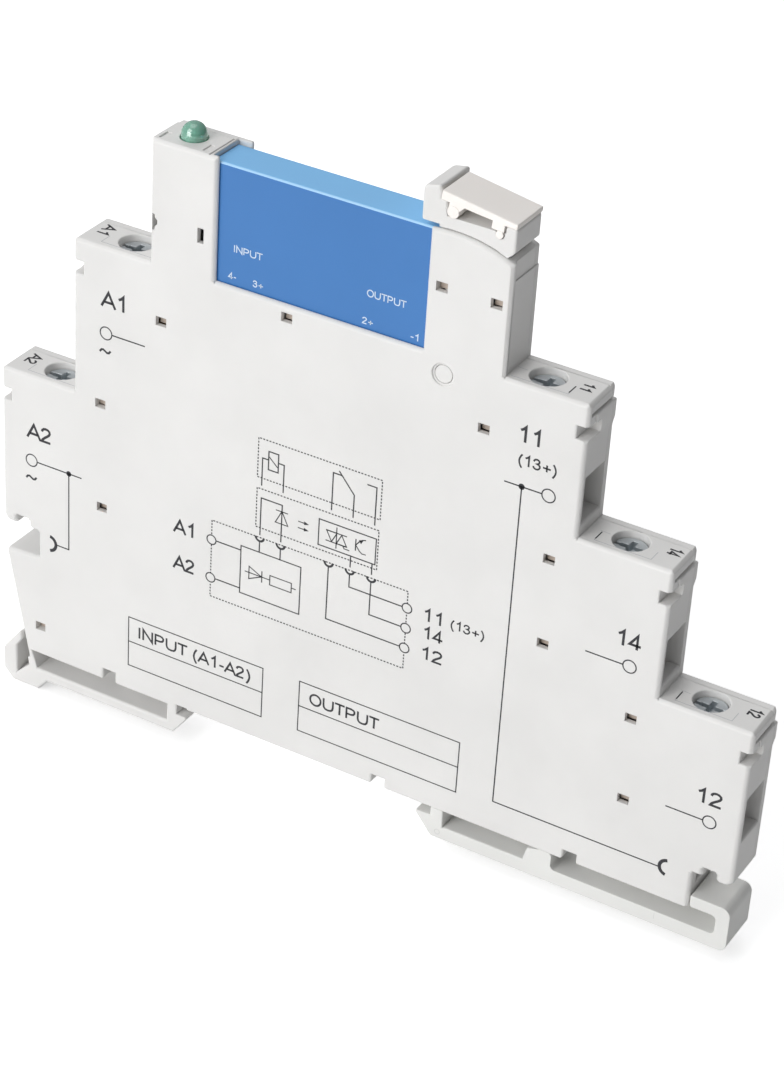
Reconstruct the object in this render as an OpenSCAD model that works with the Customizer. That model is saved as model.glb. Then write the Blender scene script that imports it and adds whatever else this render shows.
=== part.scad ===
// Slim interface relay for a 35 mm top-hat rail: a pluggable relay in a stepped socket with an ejector lever.
// Millimetres. X runs across the rail, Y through the slim case, Z away from the rail.
// The origin is the middle of the rail's width, on the face that rests on the rail.

/* [Case] */
// Thickness of the case along the rail
case_t = 6.2; // [6.1:0.1:7]
// Thickness of the moulded walls
wall_t = 0.9; // [0.8:0.05:1]
// Thickness of the rear cover
cover_t = 0.9; // [0.8:0.05:1]
// Bevel round the front face
edge_bevel = 0.35; // [0.2:0.05:0.5]

/* [Rail] */
// Width of the top-hat rail
rail_w = 35; // [34.8:0.1:35.2]
// Gap in each foot for the lip of the rail
lip_slot_h = 1.3; // [1.1:0.1:1.5]
// How far the fixed hook reaches under the rail
hook_reach = 1.4; // [1:0.1:1.6]
// How far the spring latch reaches under the rail
latch_reach = 1.9; // [1.4:0.1:2]
// Travel of the latch
latch_travel = 2.2; // [1.8:0.1:2.3]

/* [Steps] */
// Height of the upper terminals above the rail
upper_z = 58.7; // [57.5:0.1:60]
// Drop from one right-hand terminal to the next
right_drop = 16.35; // [16:0.05:16.8]
// Drop from the upper to the lower left-hand terminal
left_drop = 19.9; // [19:0.1:20.5]
// Width of each left-hand step
left_step_w = 10.3; // [10:0.1:11]
// Width of the uppermost right-hand step
first_step_w = 10.25; // [10.2:0.05:11]
// Width of each other right-hand step
right_step_w = 11.55; // [11.2:0.05:12]

/* [Relay] */
// Width of the plug-in relay
relay_w = 28; // [27.8:0.1:28.4]
// Thickness of the plug-in relay
relay_t = 4.95; // [4.8:0.05:5]
// Height of the plug-in relay
relay_h = 15; // [14.8:0.1:15.2]
// How far the relay's face lies behind the front of the case
face_recess = 0.7; // [0.65:0.05:0.8]
// Length of the relay's pins
pin_len = 3.6; // [3.2:0.1:4]

/* [Towers] */
// Width of the tower that holds the lamp
lamp_tower_w = 8.6; // [8.4:0.1:9.2]
// Width of the tower that holds the ejector lever
lever_tower_w = 10.05; // [9.9:0.05:10.6]
// Radius of the crown, round the lever's pivot
crown_r = 16.9; // [16.7:0.1:17.1]
// Swing of the ejector lever in degrees
lever_swing = 18; // [12:1:18]
// Reach of the lever's toes under the relay
toe_reach = 8; // [7.5:0.1:8.2]

/* [Terminals] */
// Distance of a terminal screw from the outer face of its step
screw_inset = 6.55; // [6.4:0.05:6.7]
// Diameter of a screw's head
head_d = 3.8; // [3.5:0.1:3.9]
// Diameter of a screw's shank
shank_d = 2.9; // [2.6:0.1:3]
// Height of a wire entry
entry_h = 5.6; // [5:0.1:5.8]
// Rise of a clamp from open to closed
clamp_rise = 3; // [2.6:0.1:3]

/* [Hidden] */
$fn = 48;

// One overrun serves every cut.
over = 0.5;
// Gap between pieces that slide or are pushed together.
play = 0.1;
// Gap round a turning pin or shank.
run_gap = 0.06;

// Depths through the case: front face, inside of the front wall, joint with the cover, rear face.
front_y = -case_t / 2;
inner_y = front_y + wall_t;
joint_y = case_t / 2 - cover_t;
rear_y = case_t / 2;

// Heights of the terminal tops and of the parts of the case between them.
top_11 = upper_z;
top_14 = top_11 - right_drop;
top_12 = top_14 - right_drop;
top_a1 = upper_z;
top_a2 = top_a1 - left_drop;
sill_rise = 0.1;
sill_z = upper_z + sill_rise;
sill_lap = 0.6;
floor_z = sill_z - sill_lap;
lamp_top_rise = 15.1;
lamp_top_z = upper_z + lamp_top_rise;

// Places across the rail, worked out from the relay outwards.
lap = 0.85;
window_w = relay_w + 2 * play - 2 * lap;
window_shift = -0.75;
window_l = window_shift - window_w / 2;
window_r = window_shift + window_w / 2;
bay_l = window_l - lap;
bay_r = window_r + lap;
lamp_l = window_l - lamp_tower_w;
tower_r = window_r + lever_tower_w;
side_a1 = lamp_l - left_step_w;
side_a2 = side_a1 - left_step_w;
side_11 = tower_r + first_step_w;
side_14 = side_11 + right_step_w;
side_12 = side_14 + right_step_w;

// The terminals: outer face, top and the way out (1 right, -1 left).
T_A1 = [side_a1, top_a1, -1];
T_A2 = [side_a2, top_a2, -1];
T_11 = [side_11, top_11, 1];
T_14 = [side_14, top_14, 1];
T_12 = [side_12, top_12, 1];
TERMINALS = [T_A1, T_A2, T_11, T_14, T_12];
function screw_x(t) = t[0] - t[2] * screw_inset;

// A terminal, from its top downwards.
head_sink = 0.8;
head_h = 1.9;
seat_z = head_sink + head_h + play;
roof_t = seat_z + wall_t;
entry_z = 9.3;
bar_t = 0.8;
chamber_w = 5.5;
chamber_h = entry_z + entry_h + bar_t;
clamp_w = chamber_w - 2 * play;
clamp_t = case_t - wall_t - cover_t - 2 * play;
clamp_wall = 0.55;
clamp_top = roof_t + clamp_rise + play;
thread_t = entry_z - bar_t - 2 * play - clamp_top;
rib_t = wall_t;
function rib_x(t) = screw_x(t) - t[2] * (chamber_w / 2 + rib_t);

// The corner notch, slit and grip on the outer face of each step, and the rounded end of its top.
notch_z = 3.62;
notch_w = 1.3;
notch_h = 1.55;
notch_back = 2.95;
slit_z = 1.35;
slit_h = 0.35;
slit_d = 0.9;
grip_out = 0.2;
grip_h = 3.3;
end_bevel = 0.35;
end_corner = 0.6;
grip_front = front_y + 2 * wall_t;

// The lever turns on a pivot at the foot of its tower.
pivot_in = 2.72;
pivot_x = window_r + pivot_in;
pivot_drop = 2.05;
pivot_z = upper_z - pivot_drop;
pivot_d = 2.12;
pivot_sink = 0.2;
pivot_ring_d = 2.7;
crown_gap = 0.2;
panel_in = 0.8;
panel_step = 0.12;
panel_drop = 3.85;
arm_w = 2.2;
boss_d = 2.6;
shaft_l = pivot_x - arm_w / 2 - 2 * play;
shaft_r = pivot_x + crown_r * sin(lever_swing + asin(arm_w / 2 / crown_r)) + play;
shaft_bottom = pivot_z - boss_d / 2 - 2 * play;
toe_t = 1.1;
toe_gap = 0.95;
toe_top = floor_z - play - pivot_z;
toe_clear = toe_top / cos(lever_swing) + (pivot_x - bay_r) * tan(lever_swing) - (toe_top + play) + play;

// The head of the lever, and the plate that snaps into it.
head_lap = 1.2;
lever_head_l = window_r - head_lap;
lever_head_r = tower_r;
head_under = 0.75;
head_under_z = max(floor_z + relay_h + head_under, pivot_z + crown_r + 2 * crown_gap);
head_rise = 4.1;
head_top_z = head_under_z + head_rise;
post_w = 2.1;
post_rise = 0.35;
head_front_in = 0.15;
head_rear_in = 0.5;
plate_t = 1.1;
plate_end_t = 0.65;
plate_tilt = 6.3;
plate_l = lever_head_l + post_w;
left_pin_d = 1.4;
left_pin_x = 1.75;
left_pin_drop = 0.88;
right_pin_d = 0.9;
right_pin_in = 1.85;
right_pin_drop = 1.22;
plate_drop = (lever_head_r - plate_l) * tan(plate_tilt);
plate_under_z = head_top_z - plate_t;
head_slot_rise = 1.2;
head_foot_cut = 0.35;
head_corner = 0.7;
lip_w = 0.9;

// The rail feet, below the face that rests on the rail.
rail_play = 0.2;
slot_x = rail_w / 2 + rail_play;
foot_h = 4.15;
beam_t = 1.45;
foot_web = 1.7;
hook_toe = 0.5;
// The seat is set back this much over the fixed hook.
seat_relief = 0.15;
seat_l = hook_reach - slot_x + play;

// The fixed foot and the slanted side above it.
heel_h = 5.8;
heel_out = 0.3;
heel_l = side_a2 - heel_out;
heel_w = 6.6;
heel_cut = 1.4;
slant_in = 0.4;
slant_d = 3.5;
slant_top_x = side_a2 + slant_in;
slant_top_z = 12.8;
slant_foot_x = side_a2 + slant_d;
wing_top_z = 3.6;
wing_turn = 1.4;
wing_wall = 2;

// The jumper openings: left beside the lower step, right above the latch.
jump_d = 5.1;
jump_top = 17.5;
jump_h = 3.6;
jump_hook_in = 1.9;
jump_hook_w = 1.8;
jump_hook_h = 1.1;
jump_lip = 0.3;
corner_cut = 0.65;
jump_l = side_a2 + jump_d;
jump_bottom = jump_top - jump_h;
jump_hook_l = side_a2 + jump_hook_in;
jump_hook_r = jump_hook_l + jump_hook_w;
jump_r_d = 4.95;
jump_r_z = 4.95;
jump_r_hook_in = 1.2;
jump_r_hook_w = 1.6;
case_r = side_12 - jump_r_d;
jump_r_hook_l = case_r + jump_r_hook_in;
jump_r_hook_r = jump_r_hook_l + jump_r_hook_w;
jump_r_hook_h = 1.15;

// The small notches in the bottom edge.
bottom_notch_h = 1.15;
bottom_notch_w = 1.7;
mid_notch_x = 10.6;
latch_notch_in = 18.25;
latch_notch_x = slot_x + latch_notch_in;
foot_notch_in = 9.9;
foot_notch_x = -slot_x - foot_notch_in;

// The latch: hook, web, curled end and the two tongues that guide it.
latch_window_w = 12.6;
latch_web_l = slot_x + foot_web + latch_window_w;
latch_web_r = latch_web_l + foot_web;
latch_end_wall = 1.65;
latch_out = 0.2;
latch_r = side_12 + latch_out;
curl_top = 1.85;
curl_t = 1.5;
curl_round = 0.6;
end_round = 1.1;
window_round = 0.6;
latch_t = case_t - 2 * play;
tongue_w = 1.1;
neck_t = 1.6;
tongue_t = 3;
tongue_h = 0.8;
tongue_inset = 0.4;

// The snap windows in the front face: place, width and height.
snap_w = 1.4;
snap_h = 1.15;
snap_peg_y = -1.6;
snap_play = 0.15;
// Where each window lies on the step that carries it, as shares of that step's width and height.
snap_shares = [
    [0.2, -0.355], [0.37, -0.025], [0.4, -0.73], [0.525, 0.3], [0.36, -0.09], [0.84, 0.55], [0.81, -0.42],
    [-0.26, -0.23], [-0.24, -0.896], [-0.25, -0.23], [-0.23, -0.896]
];
// The corner that each window is measured from, with the width and the height that its shares refer to.
SNAP_STEPS = [
    [lamp_l, lamp_tower_w, top_a1, left_drop], [side_a1, left_step_w, top_a2, left_drop],
    [side_a1, left_step_w, top_a2, left_drop], [side_a2, left_step_w, 0, slant_top_z],
    [window_l, window_w, sill_z, right_drop], [window_r, lever_tower_w, upper_z, relay_h],
    [window_r, lever_tower_w, top_11, right_drop], [side_11, right_step_w, top_14, right_drop],
    [side_11, right_step_w, top_14, right_drop], [side_14, right_step_w, top_12, right_drop],
    [side_14, right_step_w, top_12, right_drop]
];
function snap_place(i) = [
    SNAP_STEPS[i][0] + snap_shares[i][0] * SNAP_STEPS[i][1],
    SNAP_STEPS[i][2] + snap_shares[i][1] * SNAP_STEPS[i][3]
];
SNAPS = [for (i = [0 : len(snap_shares) - 1]) snap_place(i)];
// The window over the lever's arm has no peg behind it.
arm_window_share = 0.185;
ARM_WINDOW = [window_r + arm_window_share * lever_tower_w, SNAPS[5][1]];
lamp_slot_in = 1.9;
lamp_slot_rise = 5.2;
lamp_slot_x = window_l - lamp_slot_in;
lamp_slot_z = upper_z + lamp_slot_rise;
lamp_slot_w = 0.8;
lamp_slot_h = 1.8;
// The marks in the tower's top, as shares of its width, and the keyhole in its edge.
mark_shares = [0.09, 0.75];
mark_w = 0.55;
mark_l = 1.7;
mark_y = -2.3;
mark_sink = 0.15;
keyhole_in = 0.3;
keyhole_w = 0.3;
keyhole_h = 2;
keyhole_drop = 10;

// The lamp.
lamp_in = 5;
lamp_x = window_l - lamp_in;
lamp_d = 3;
lamp_cone_h = 1.1;
lamp_flange_d = 3.6;
lamp_flange_h = 0.9;
lamp_body_h = 3.6;
lead_w = 0.5;
lead_gap = 1.6;

// Inside: stamped strips, contacts and the board.
strip_t = 0.5;
strip_w = 1.8;
board_t = 1;
board_share = 0.62;
board_past = 4.5;
board_l = side_a1 + board_share * left_step_w;
board_r = window_r + board_past;
board_bottom = 4;
board_top = top_a2 - wall_t - 2 * play;
contact_w = 2.6;
contact_h = 5.6;
leaf_t = 0.35;
pin_w = 1.1;
pin_t = 0.5;
contact_drop = 2.1;
contact_top = floor_z - contact_drop;
contact_bottom = contact_top - contact_h;
// Places of the relay's pins along its width: two inputs, then the switched side.
pin_shares = [0.093, 0.229, 0.586, 0.764, 0.925];
PINS_USED = [0, 1, 3, 4];
function pin_x(i) = bay_l + play + pin_shares[i] * relay_w;

// A flat outline given in X and Z, with its thickness running from y0 to y1.
module slab(y0, y1) {
    translate([0, y1, 0]) rotate([90, 0, 0]) linear_extrude(y1 - y0) children();
}

// A block between two corners.
module block(low, high) {
    translate(low) cube(high - low);
}

// A round pin or hole along Y.
module pin_y(x, z, d, y0, y1) {
    translate([x, y1, z]) rotate([90, 0, 0]) cylinder(d = d, h = y1 - y0);
}

// A rectangle in X and Z, inside a slab.
module rect(x0, x1, z0, z1) {
    translate([x0, z0]) square([x1 - x0, z1 - z0]);
}

// The right side of the case, from the end of its bottom edge up to the lever's tower.
RIGHT_SIDE = [
    [case_r, 0],
    [case_r, jump_r_z],
    [jump_r_hook_l, jump_r_z],
    [jump_r_hook_l, jump_r_z + jump_r_hook_h],
    [jump_r_hook_r, jump_r_z + jump_r_hook_h],
    [jump_r_hook_r, jump_r_z],
    [side_12 - corner_cut, jump_r_z],
    [side_12, jump_r_z + corner_cut],
    [side_12, top_12],
    [side_14, top_12],
    [side_14, top_14],
    [side_11, top_14],
    [side_11, top_11],
    [tower_r, top_11],
    [tower_r, pivot_z + crown_r]
];

// The left side, from the relay's window over the lamp's tower down to the slanted foot.
LEFT_SIDE = [
    [window_r, sill_z],
    [window_l, sill_z],
    [window_l, lamp_top_z],
    [lamp_l, lamp_top_z],
    [lamp_l, top_a1],
    [side_a1, top_a1],
    [side_a1, top_a2],
    [side_a2, top_a2],
    [side_a2, jump_top + corner_cut],
    [side_a2 + corner_cut, jump_top],
    [jump_hook_l, jump_top],
    [jump_hook_l, jump_top + jump_hook_h],
    [jump_hook_r, jump_top + jump_hook_h],
    [jump_hook_r, jump_top],
    [jump_l, jump_top],
    [jump_l, jump_bottom],
    [slant_top_x, jump_bottom - jump_lip],
    [slant_top_x, slant_top_z],
    [slant_foot_x, -beam_t]
];

// The outline of the case below the crown, from the left end of the rail seat round to the right.
CASE_OUTLINE = concat([
    [-slot_x, seat_relief],
    [seat_l, seat_relief],
    [seat_l, 0],
    [mid_notch_x - bottom_notch_w / 2, 0],
    [mid_notch_x - bottom_notch_w / 2, bottom_notch_h],
    [mid_notch_x + bottom_notch_w / 2, bottom_notch_h],
    [mid_notch_x + bottom_notch_w / 2, 0],
    [latch_notch_x - bottom_notch_w / 2, 0],
    [latch_notch_x - bottom_notch_w / 2, bottom_notch_h],
    [latch_notch_x + bottom_notch_w / 2, bottom_notch_h],
    [latch_notch_x + bottom_notch_w / 2, 0]
], RIGHT_SIDE, [
    [window_r, pivot_z + crown_r]
], LEFT_SIDE, [
    [-slot_x, -beam_t]
]);

// The fixed foot: wing, heel, beam and hook.
FOOT_OUTLINE = [
    [slant_foot_x, wing_top_z],
    [heel_l, -wing_turn],
    [heel_l, heel_cut - heel_h],
    [heel_l + heel_cut, -heel_h],
    [heel_l + heel_w - heel_cut, -heel_h],
    [heel_l + heel_w, -foot_h],
    [-slot_x - hook_toe, -foot_h],
    [hook_reach - slot_x, -lip_slot_h - hook_toe / 2],
    [hook_reach - slot_x, -lip_slot_h],
    [-slot_x, -lip_slot_h],
    [-slot_x, wing_top_z]
];

beam_top = beam_t - foot_h;
beam_hole_l = slant_foot_x + foot_web / 2;
beam_hole_r = -slot_x - beam_t;
foot_slit = 0.35;
wing_inner = heel_l + wing_wall;

// The openings in the fixed foot.
module foot_openings() {
    polygon([
        [beam_hole_l - foot_slit, -foot_slit],
        [beam_hole_l + foot_slit, beam_top],
        [beam_hole_r, beam_top],
        [beam_hole_r, -foot_slit]
    ]);
    rect(foot_notch_x - bottom_notch_w / 2, foot_notch_x + bottom_notch_w / 2, -beam_t, bottom_notch_h);
    polygon([
        [wing_inner, heel_cut - heel_h],
        [slant_foot_x, beam_top],
        [slant_foot_x - foot_slit, -foot_slit],
        [wing_inner + wing_wall / 2, beam_t - foot_slit],
        [wing_inner, -foot_slit]
    ]);
}

// The outline of shell and cover alike: stepped body, crown and fixed foot.
module case_profile() {
    difference() {
        union() {
            polygon(CASE_OUTLINE);
            polygon(FOOT_OUTLINE);
        }
        foot_openings();
        // The crown of the tower, round the lever's pivot.
        difference() {
            rect(window_r, tower_r + over, pivot_z + crown_r / 2, pivot_z + crown_r + over);
            translate([pivot_x, pivot_z]) circle(crown_r, $fn = 96);
        }
    }
}

// A wedge that bevels the front edge from a to b, where the material lies to the left of a to b.
module edge_wedge(a, b) {
    d = b - a;
    translate([a[0], front_y, a[1]])
        rotate([0, -atan2(d[1], d[0]), 0])
            rotate([90, 0, 90])
                linear_extrude(norm(d))
                    polygon([[-over, -over], [edge_bevel + over, -over], [-over, edge_bevel + over]]);
}

// The bevel round the front face, along every side of the stepped body.
module front_bevels() {
    for (chain = [RIGHT_SIDE, LEFT_SIDE])
        for (i = [0 : len(chain) - 2]) edge_wedge(chain[i], chain[i + 1]);
    edge_wedge([window_r, pivot_z + crown_r], [window_r, sill_z]);
    intersection() {
        translate([pivot_x, front_y, pivot_z]) rotate([90, 0, 0]) rotate_extrude($fn = 96)
            polygon([
                [crown_r + over, over],
                [crown_r + over, -edge_bevel - over],
                [crown_r - edge_bevel - over, over]
            ]);
        slab(front_y - over, inner_y) rect(window_r, tower_r, sill_z, pivot_z + crown_r + over);
    }
}

// The cuts that every terminal makes in the shell: stepped screw hole, clamp chamber and wire entry.
module terminal_cuts(t) {
    x = screw_x(t);
    hole_d = head_d + 4 * play;
    translate([x, 0, t[1] - seat_z]) cylinder(d = hole_d, h = seat_z + over);
    translate([x, 0, t[1] - roof_t - over]) cylinder(d = shank_d + 4 * play, h = roof_t);
    slab(inner_y, joint_y + over)
        rect(x - chamber_w / 2, x + chamber_w / 2, t[1] - chamber_h, t[1] - roof_t);
    out = t[0] + t[2] * over;
    slab(inner_y, joint_y + over)
        rect(min(x, out), max(x, out), t[1] - entry_z - entry_h, t[1] - entry_z);
    side_cuts(t);
}

// The corner notch and the slit in the outer face of a step.
module side_cuts(t) {
    notch_in = t[0] - t[2] * notch_w;
    notch_out = t[0] + t[2] * (over + grip_out);
    slab(front_y - over, front_y + notch_back)
        rect(min(notch_in, notch_out), max(notch_in, notch_out),
             t[1] - notch_z - notch_h / 2, t[1] - notch_z + notch_h / 2);
    inside = t[0] - t[2] * slit_d;
    outside = t[0] + t[2] * over;
    slab(inner_y, rear_y + over)
        rect(min(inside, outside), max(inside, outside), t[1] - slit_z - slit_h, t[1] - slit_z);
}

// The bevel along the outer edge of a step's top, and its round rear corner.
module end_cuts(t) {
    slab(front_y - over, rear_y + over) translate([t[0], t[1]]) polygon([
        [-t[2] * (end_bevel + over), over],
        [t[2] * over, over],
        [t[2] * over, -end_bevel - over]
    ]);
    translate([t[0] - t[2] * end_corner, rear_y - end_corner, t[1] - slit_z]) difference() {
        block([min(0, t[2] * (end_corner + over)), 0, 0],
              [max(0, t[2] * (end_corner + over)), end_corner + over, slit_z + over]);
        translate([0, 0, -over]) cylinder(r = end_corner, h = slit_z + 3 * over);
    }
}

// The rounded grip below the slit, between two depths.
module side_grip(t, y0, y1) {
    slab(y0, y1) translate([t[0], t[1] - slit_z - slit_h]) polygon([
        [-t[2] * over, 0],
        [t[2] * grip_out / 2, 0],
        [t[2] * grip_out, -grip_out / 2],
        [t[2] * grip_out, -grip_h * 2 / 3],
        [0, -grip_h],
        [-t[2] * over, -grip_h]
    ]);
}

// The room between the terminals, for the board, the strips and the contacts.
module main_cavity() {
    polygon([
        [jump_l + wall_t, wall_t],
        [case_r - wall_t, wall_t],
        [case_r - wall_t, top_12 - chamber_h - rib_t],
        [rib_x(T_12), top_12 - chamber_h - rib_t],
        [rib_x(T_12), top_12 - wall_t],
        [rib_x(T_14), top_12 - wall_t],
        [rib_x(T_14), top_14 - wall_t],
        [rib_x(T_11), top_14 - wall_t],
        [rib_x(T_11), floor_z - wall_t],
        [rib_x(T_A1), floor_z - wall_t],
        [rib_x(T_A1), top_a2 - wall_t],
        [rib_x(T_A2), top_a2 - wall_t],
        [rib_x(T_A2), jump_top + jump_hook_h + wall_t],
        [jump_l + wall_t, jump_top + jump_hook_h + wall_t]
    ]);
}

// The slots through which each bus bar leaves its clamp chamber.
module bar_slot(t) {
    x = screw_x(t);
    inside = x - t[2] * (chamber_w / 2 + rib_t + over);
    slab(inner_y, joint_y + over)
        rect(min(x, inside), max(x, inside), t[1] - entry_z - play, t[1] - entry_z + bar_t + play);
}

// The bay that the relay drops into, with the laps that hold it at front and rear.
module relay_bay() {
    bay_y = front_y + face_recess - play / 2;
    slab(bay_y, bay_y + relay_t + play) rect(bay_l, bay_r, floor_z, lamp_top_z + over);
    slab(front_y - over, bay_y + over) rect(window_l, window_r, sill_z, lamp_top_z + over);
    for (i = [0 : len(pin_shares) - 1])
        block([pin_x(i) - contact_w / 2, -contact_w / 2, floor_z - wall_t - over],
              [pin_x(i) + contact_w / 2, contact_w / 2, floor_z + over]);
}

// The shaft that the lever swings in, and the pocket for its toes under the relay.
module lever_room() {
    slab(inner_y, joint_y + over) {
        rect(shaft_l, shaft_r, shaft_bottom, pivot_z + crown_r + over);
        rect(pivot_x - toe_reach - 3 * play, shaft_l + over, shaft_bottom, floor_z + toe_clear);
    }
}

// A snap window in the front wall, with the pocket for its peg behind it.
module snap_window(p) {
    slab(front_y - over, joint_y + over)
        rect(p[0] - snap_w / 2, p[0] + snap_w / 2, p[1] - snap_h / 2, p[1] + snap_h / 2);
}

// The slots in the bottom wall that guide the latch's tongues.
module tongue_slots() {
    for (x = [slot_x + tongue_inset, latch_web_l + tongue_inset])
        block([x - play, -neck_t / 2 - play, -over],
              [x + tongue_w + latch_travel + play, neck_t / 2 + play, wall_t + over]);
}

// The slits between the jumper openings and the contacts behind them.
module jumper_slits() {
    block([jump_l - over, -contact_w / 2, jump_bottom + wall_t],
          [jump_l + wall_t + over, contact_w / 2, jump_top - wall_t]);
    block([case_r - wall_t - over, -contact_w / 2, jump_r_z - 2.5 * wall_t],
          [case_r + over, contact_w / 2, jump_r_z - wall_t / 2]);
}

// Front shell: the stepped tray with its face, step tops, towers and fixed foot.
module front_shell() {
    color([0.89, 0.89, 0.88]) difference() {
        union() {
            slab(front_y, joint_y) case_profile();
            for (t = TERMINALS) side_grip(t, grip_front, joint_y);
            // The walls of the relay's bay, behind the window.
            slab(front_y + face_recess, joint_y) {
                rect(window_r - lap, bay_r + lap, floor_z, pivot_z + crown_r - 2 * lap);
                rect(bay_l - lap, window_l + lap, floor_z, lamp_top_z - over);
            }
        }
        front_bevels();
        slab(inner_y, joint_y + over) main_cavity();
        for (t = TERMINALS) {
            terminal_cuts(t);
            bar_slot(t);
            end_cuts(t);
        }
        relay_bay();
        lever_room();
        lamp_room();
        lamp_marks();
        for (p = concat(SNAPS, [ARM_WINDOW])) snap_window(p);
        tongue_slots();
        jumper_slits();
        tower_panel();
        pin_y(pivot_x, pivot_z, pivot_d + 2 * run_gap, front_y - over, inner_y + over);
        pin_y(pivot_x, pivot_z, pivot_ring_d, front_y - over, front_y + pivot_sink);
    }
}

// The shallow panel in the side of the lever's tower, deeper near the top.
module tower_panel() {
    panel_y = front_y + panel_in;
    panel_top = pivot_z + crown_r + over;
    block([tower_r - panel_step, panel_y, top_11], [tower_r + over, rear_y + over, panel_top]);
    block([tower_r - 2 * panel_step, panel_y + panel_step, pivot_z + crown_r - panel_drop],
          [tower_r + over, rear_y + over, panel_top]);
}

// The shallow marks round the lamp in its tower's top, and the keyhole slot near the tower's outer edge.
module lamp_marks() {
    for (s = mark_shares) {
        x = lamp_l + s * lamp_tower_w;
        block([x - mark_w / 2, mark_y, lamp_top_z - mark_sink], [x + mark_w / 2, mark_y + mark_l, lamp_top_z + over]);
    }
    block([bay_l - mark_w / 2 - mark_sink, front_y + edge_bevel, lamp_top_z - mark_sink],
          [bay_l - mark_w / 2, joint_y + over, lamp_top_z + over]);
    slab(front_y - over, inner_y + over) translate([lamp_l + keyhole_in, lamp_top_z - keyhole_drop]) polygon([
        [0, keyhole_h / 2],
        [keyhole_w, keyhole_h / 2],
        [keyhole_w, keyhole_h / 4],
        [2 * keyhole_w, keyhole_h / 8],
        [2 * keyhole_w, -keyhole_h / 8],
        [keyhole_w, -keyhole_h / 4],
        [keyhole_w, -keyhole_h / 2],
        [0, -keyhole_h / 2]
    ]);
}

// The room for the lamp in its tower, and the slot beside it in the face.
module lamp_room() {
    slab(inner_y, joint_y + over)
        rect(lamp_l + wall_t, bay_l - wall_t, floor_z - wall_t - over, lamp_top_z - wall_t);
    translate([lamp_x, 0, lamp_top_z - wall_t - over]) cylinder(d = lamp_d + 2 * play, h = wall_t + 2 * over);
    slab(front_y - over, joint_y + over)
        rect(lamp_slot_x - lamp_slot_w / 2, lamp_slot_x + lamp_slot_w / 2,
             lamp_slot_z - lamp_slot_h / 2, lamp_slot_z + lamp_slot_h / 2);
}

// Rear cover: the plate that closes the tray, with a peg for every snap window.
module rear_cover() {
    color([0.86, 0.87, 0.87]) difference() {
        union() {
            slab(joint_y, rear_y) {
                case_profile();
                rect(window_l - lap, window_l + lip_w, sill_z - lap, lamp_top_z);
                rect(window_r - lip_w, window_r + lap, sill_z - lap, pivot_z + crown_r - 2 * lap);
            }
            for (t = TERMINALS) side_grip(t, joint_y, rear_y);
            for (p = SNAPS)
                slab(snap_peg_y, joint_y)
                    rect(p[0] - snap_w / 2 + snap_play, p[0] + snap_w / 2 - snap_play,
                         p[1] - snap_h / 2 + snap_play, p[1] + snap_h / 2 - snap_play);
        }
        bay_y = front_y + face_recess - play / 2;
        slab(bay_y, bay_y + relay_t + play) rect(bay_l, bay_r, floor_z, lamp_top_z + over);
        for (t = TERMINALS) {
            slit_through(t);
            end_cuts(t);
        }
        tower_panel();
        pin_y(pivot_x, pivot_z, pivot_d + 2 * run_gap, joint_y - over, rear_y + over);
    }
}

// The slit of a step, cut through the cover as well.
module slit_through(t) {
    inside = t[0] - t[2] * slit_d;
    outside = t[0] + t[2] * over;
    slab(joint_y - over, rear_y + over)
        rect(min(inside, outside), max(inside, outside), t[1] - slit_z - slit_h, t[1] - slit_z);
}

// Ejector lever: head over the relay's end, arm in the tower, trunnions and forked toes.
module ejector_lever() {
    arm_t = joint_y - inner_y - 2 * play;
    color([0.86, 0.88, 0.88]) difference() {
        union() {
            slab(front_y + head_front_in, rear_y - head_rear_in) lever_head();
            slab(front_y + head_front_in, rear_y) intersection() {
                lever_head();
                rect(lever_head_l - over, plate_l, pivot_z, head_top_z + 2 * post_rise);
            }
            slab(-arm_t / 2, arm_t / 2) {
                rect(pivot_x - arm_w / 2, pivot_x + arm_w / 2, pivot_z, pivot_z + crown_r + 2 * crown_gap);
                translate([pivot_x, pivot_z]) circle(d = boss_d);
                lever_toe();
            }
            pin_y(pivot_x, pivot_z, pivot_d, front_y + pivot_sink, rear_y - pivot_sink);
        }
        // The gap between the toes, which clears the pins and their contacts.
        block([pivot_x - toe_reach - over, -toe_gap, shaft_bottom - over],
              [pivot_x - boss_d / 2 - play, toe_gap, floor_z + over]);
    }
}

// The toes, from the boss to their tips under the relay.
module lever_toe() {
    tip = pivot_x - toe_reach;
    polygon([
        [pivot_x, floor_z - play],
        [tip, floor_z - play],
        [tip, floor_z - play - toe_t],
        [pivot_x, pivot_z - boss_d / 2]
    ]);
}

// The outline of the lever's head, with its underside round the pivot.
module lever_head() {
    difference() {
        polygon([
            [lever_head_l, head_under_z],
            [lever_head_l, head_top_z - head_foot_cut],
            [lever_head_l + head_foot_cut, head_top_z],
            [plate_l, head_top_z + post_rise],
            [plate_l, plate_under_z],
            [lever_head_r, plate_under_z - plate_drop],
            [lever_head_r, head_under_z - head_corner],
            [lever_head_r - lap, head_under_z - 2 * head_corner],
            [lever_head_r - lap, pivot_z + crown_r - 4 * lap],
            [bay_r, pivot_z + crown_r - 4 * lap],
            [bay_r, head_under_z]
        ]);
        translate([pivot_x, pivot_z]) circle(crown_r + crown_gap, $fn = 96);
        // The opening behind the plate's legs, with a pocket for the right pin.
        rect(plate_l + left_pin_x - left_pin_d / 2 - left_pin_drop * tan(plate_tilt) - play,
             lever_head_r - right_pin_in + right_pin_d / 2 + play,
             head_under_z + head_slot_rise, plate_under_z + over);
        plate_frame() translate([right_pin(), -right_pin_drop]) circle(d = right_pin_d + 2 * play);
    }
}

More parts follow.
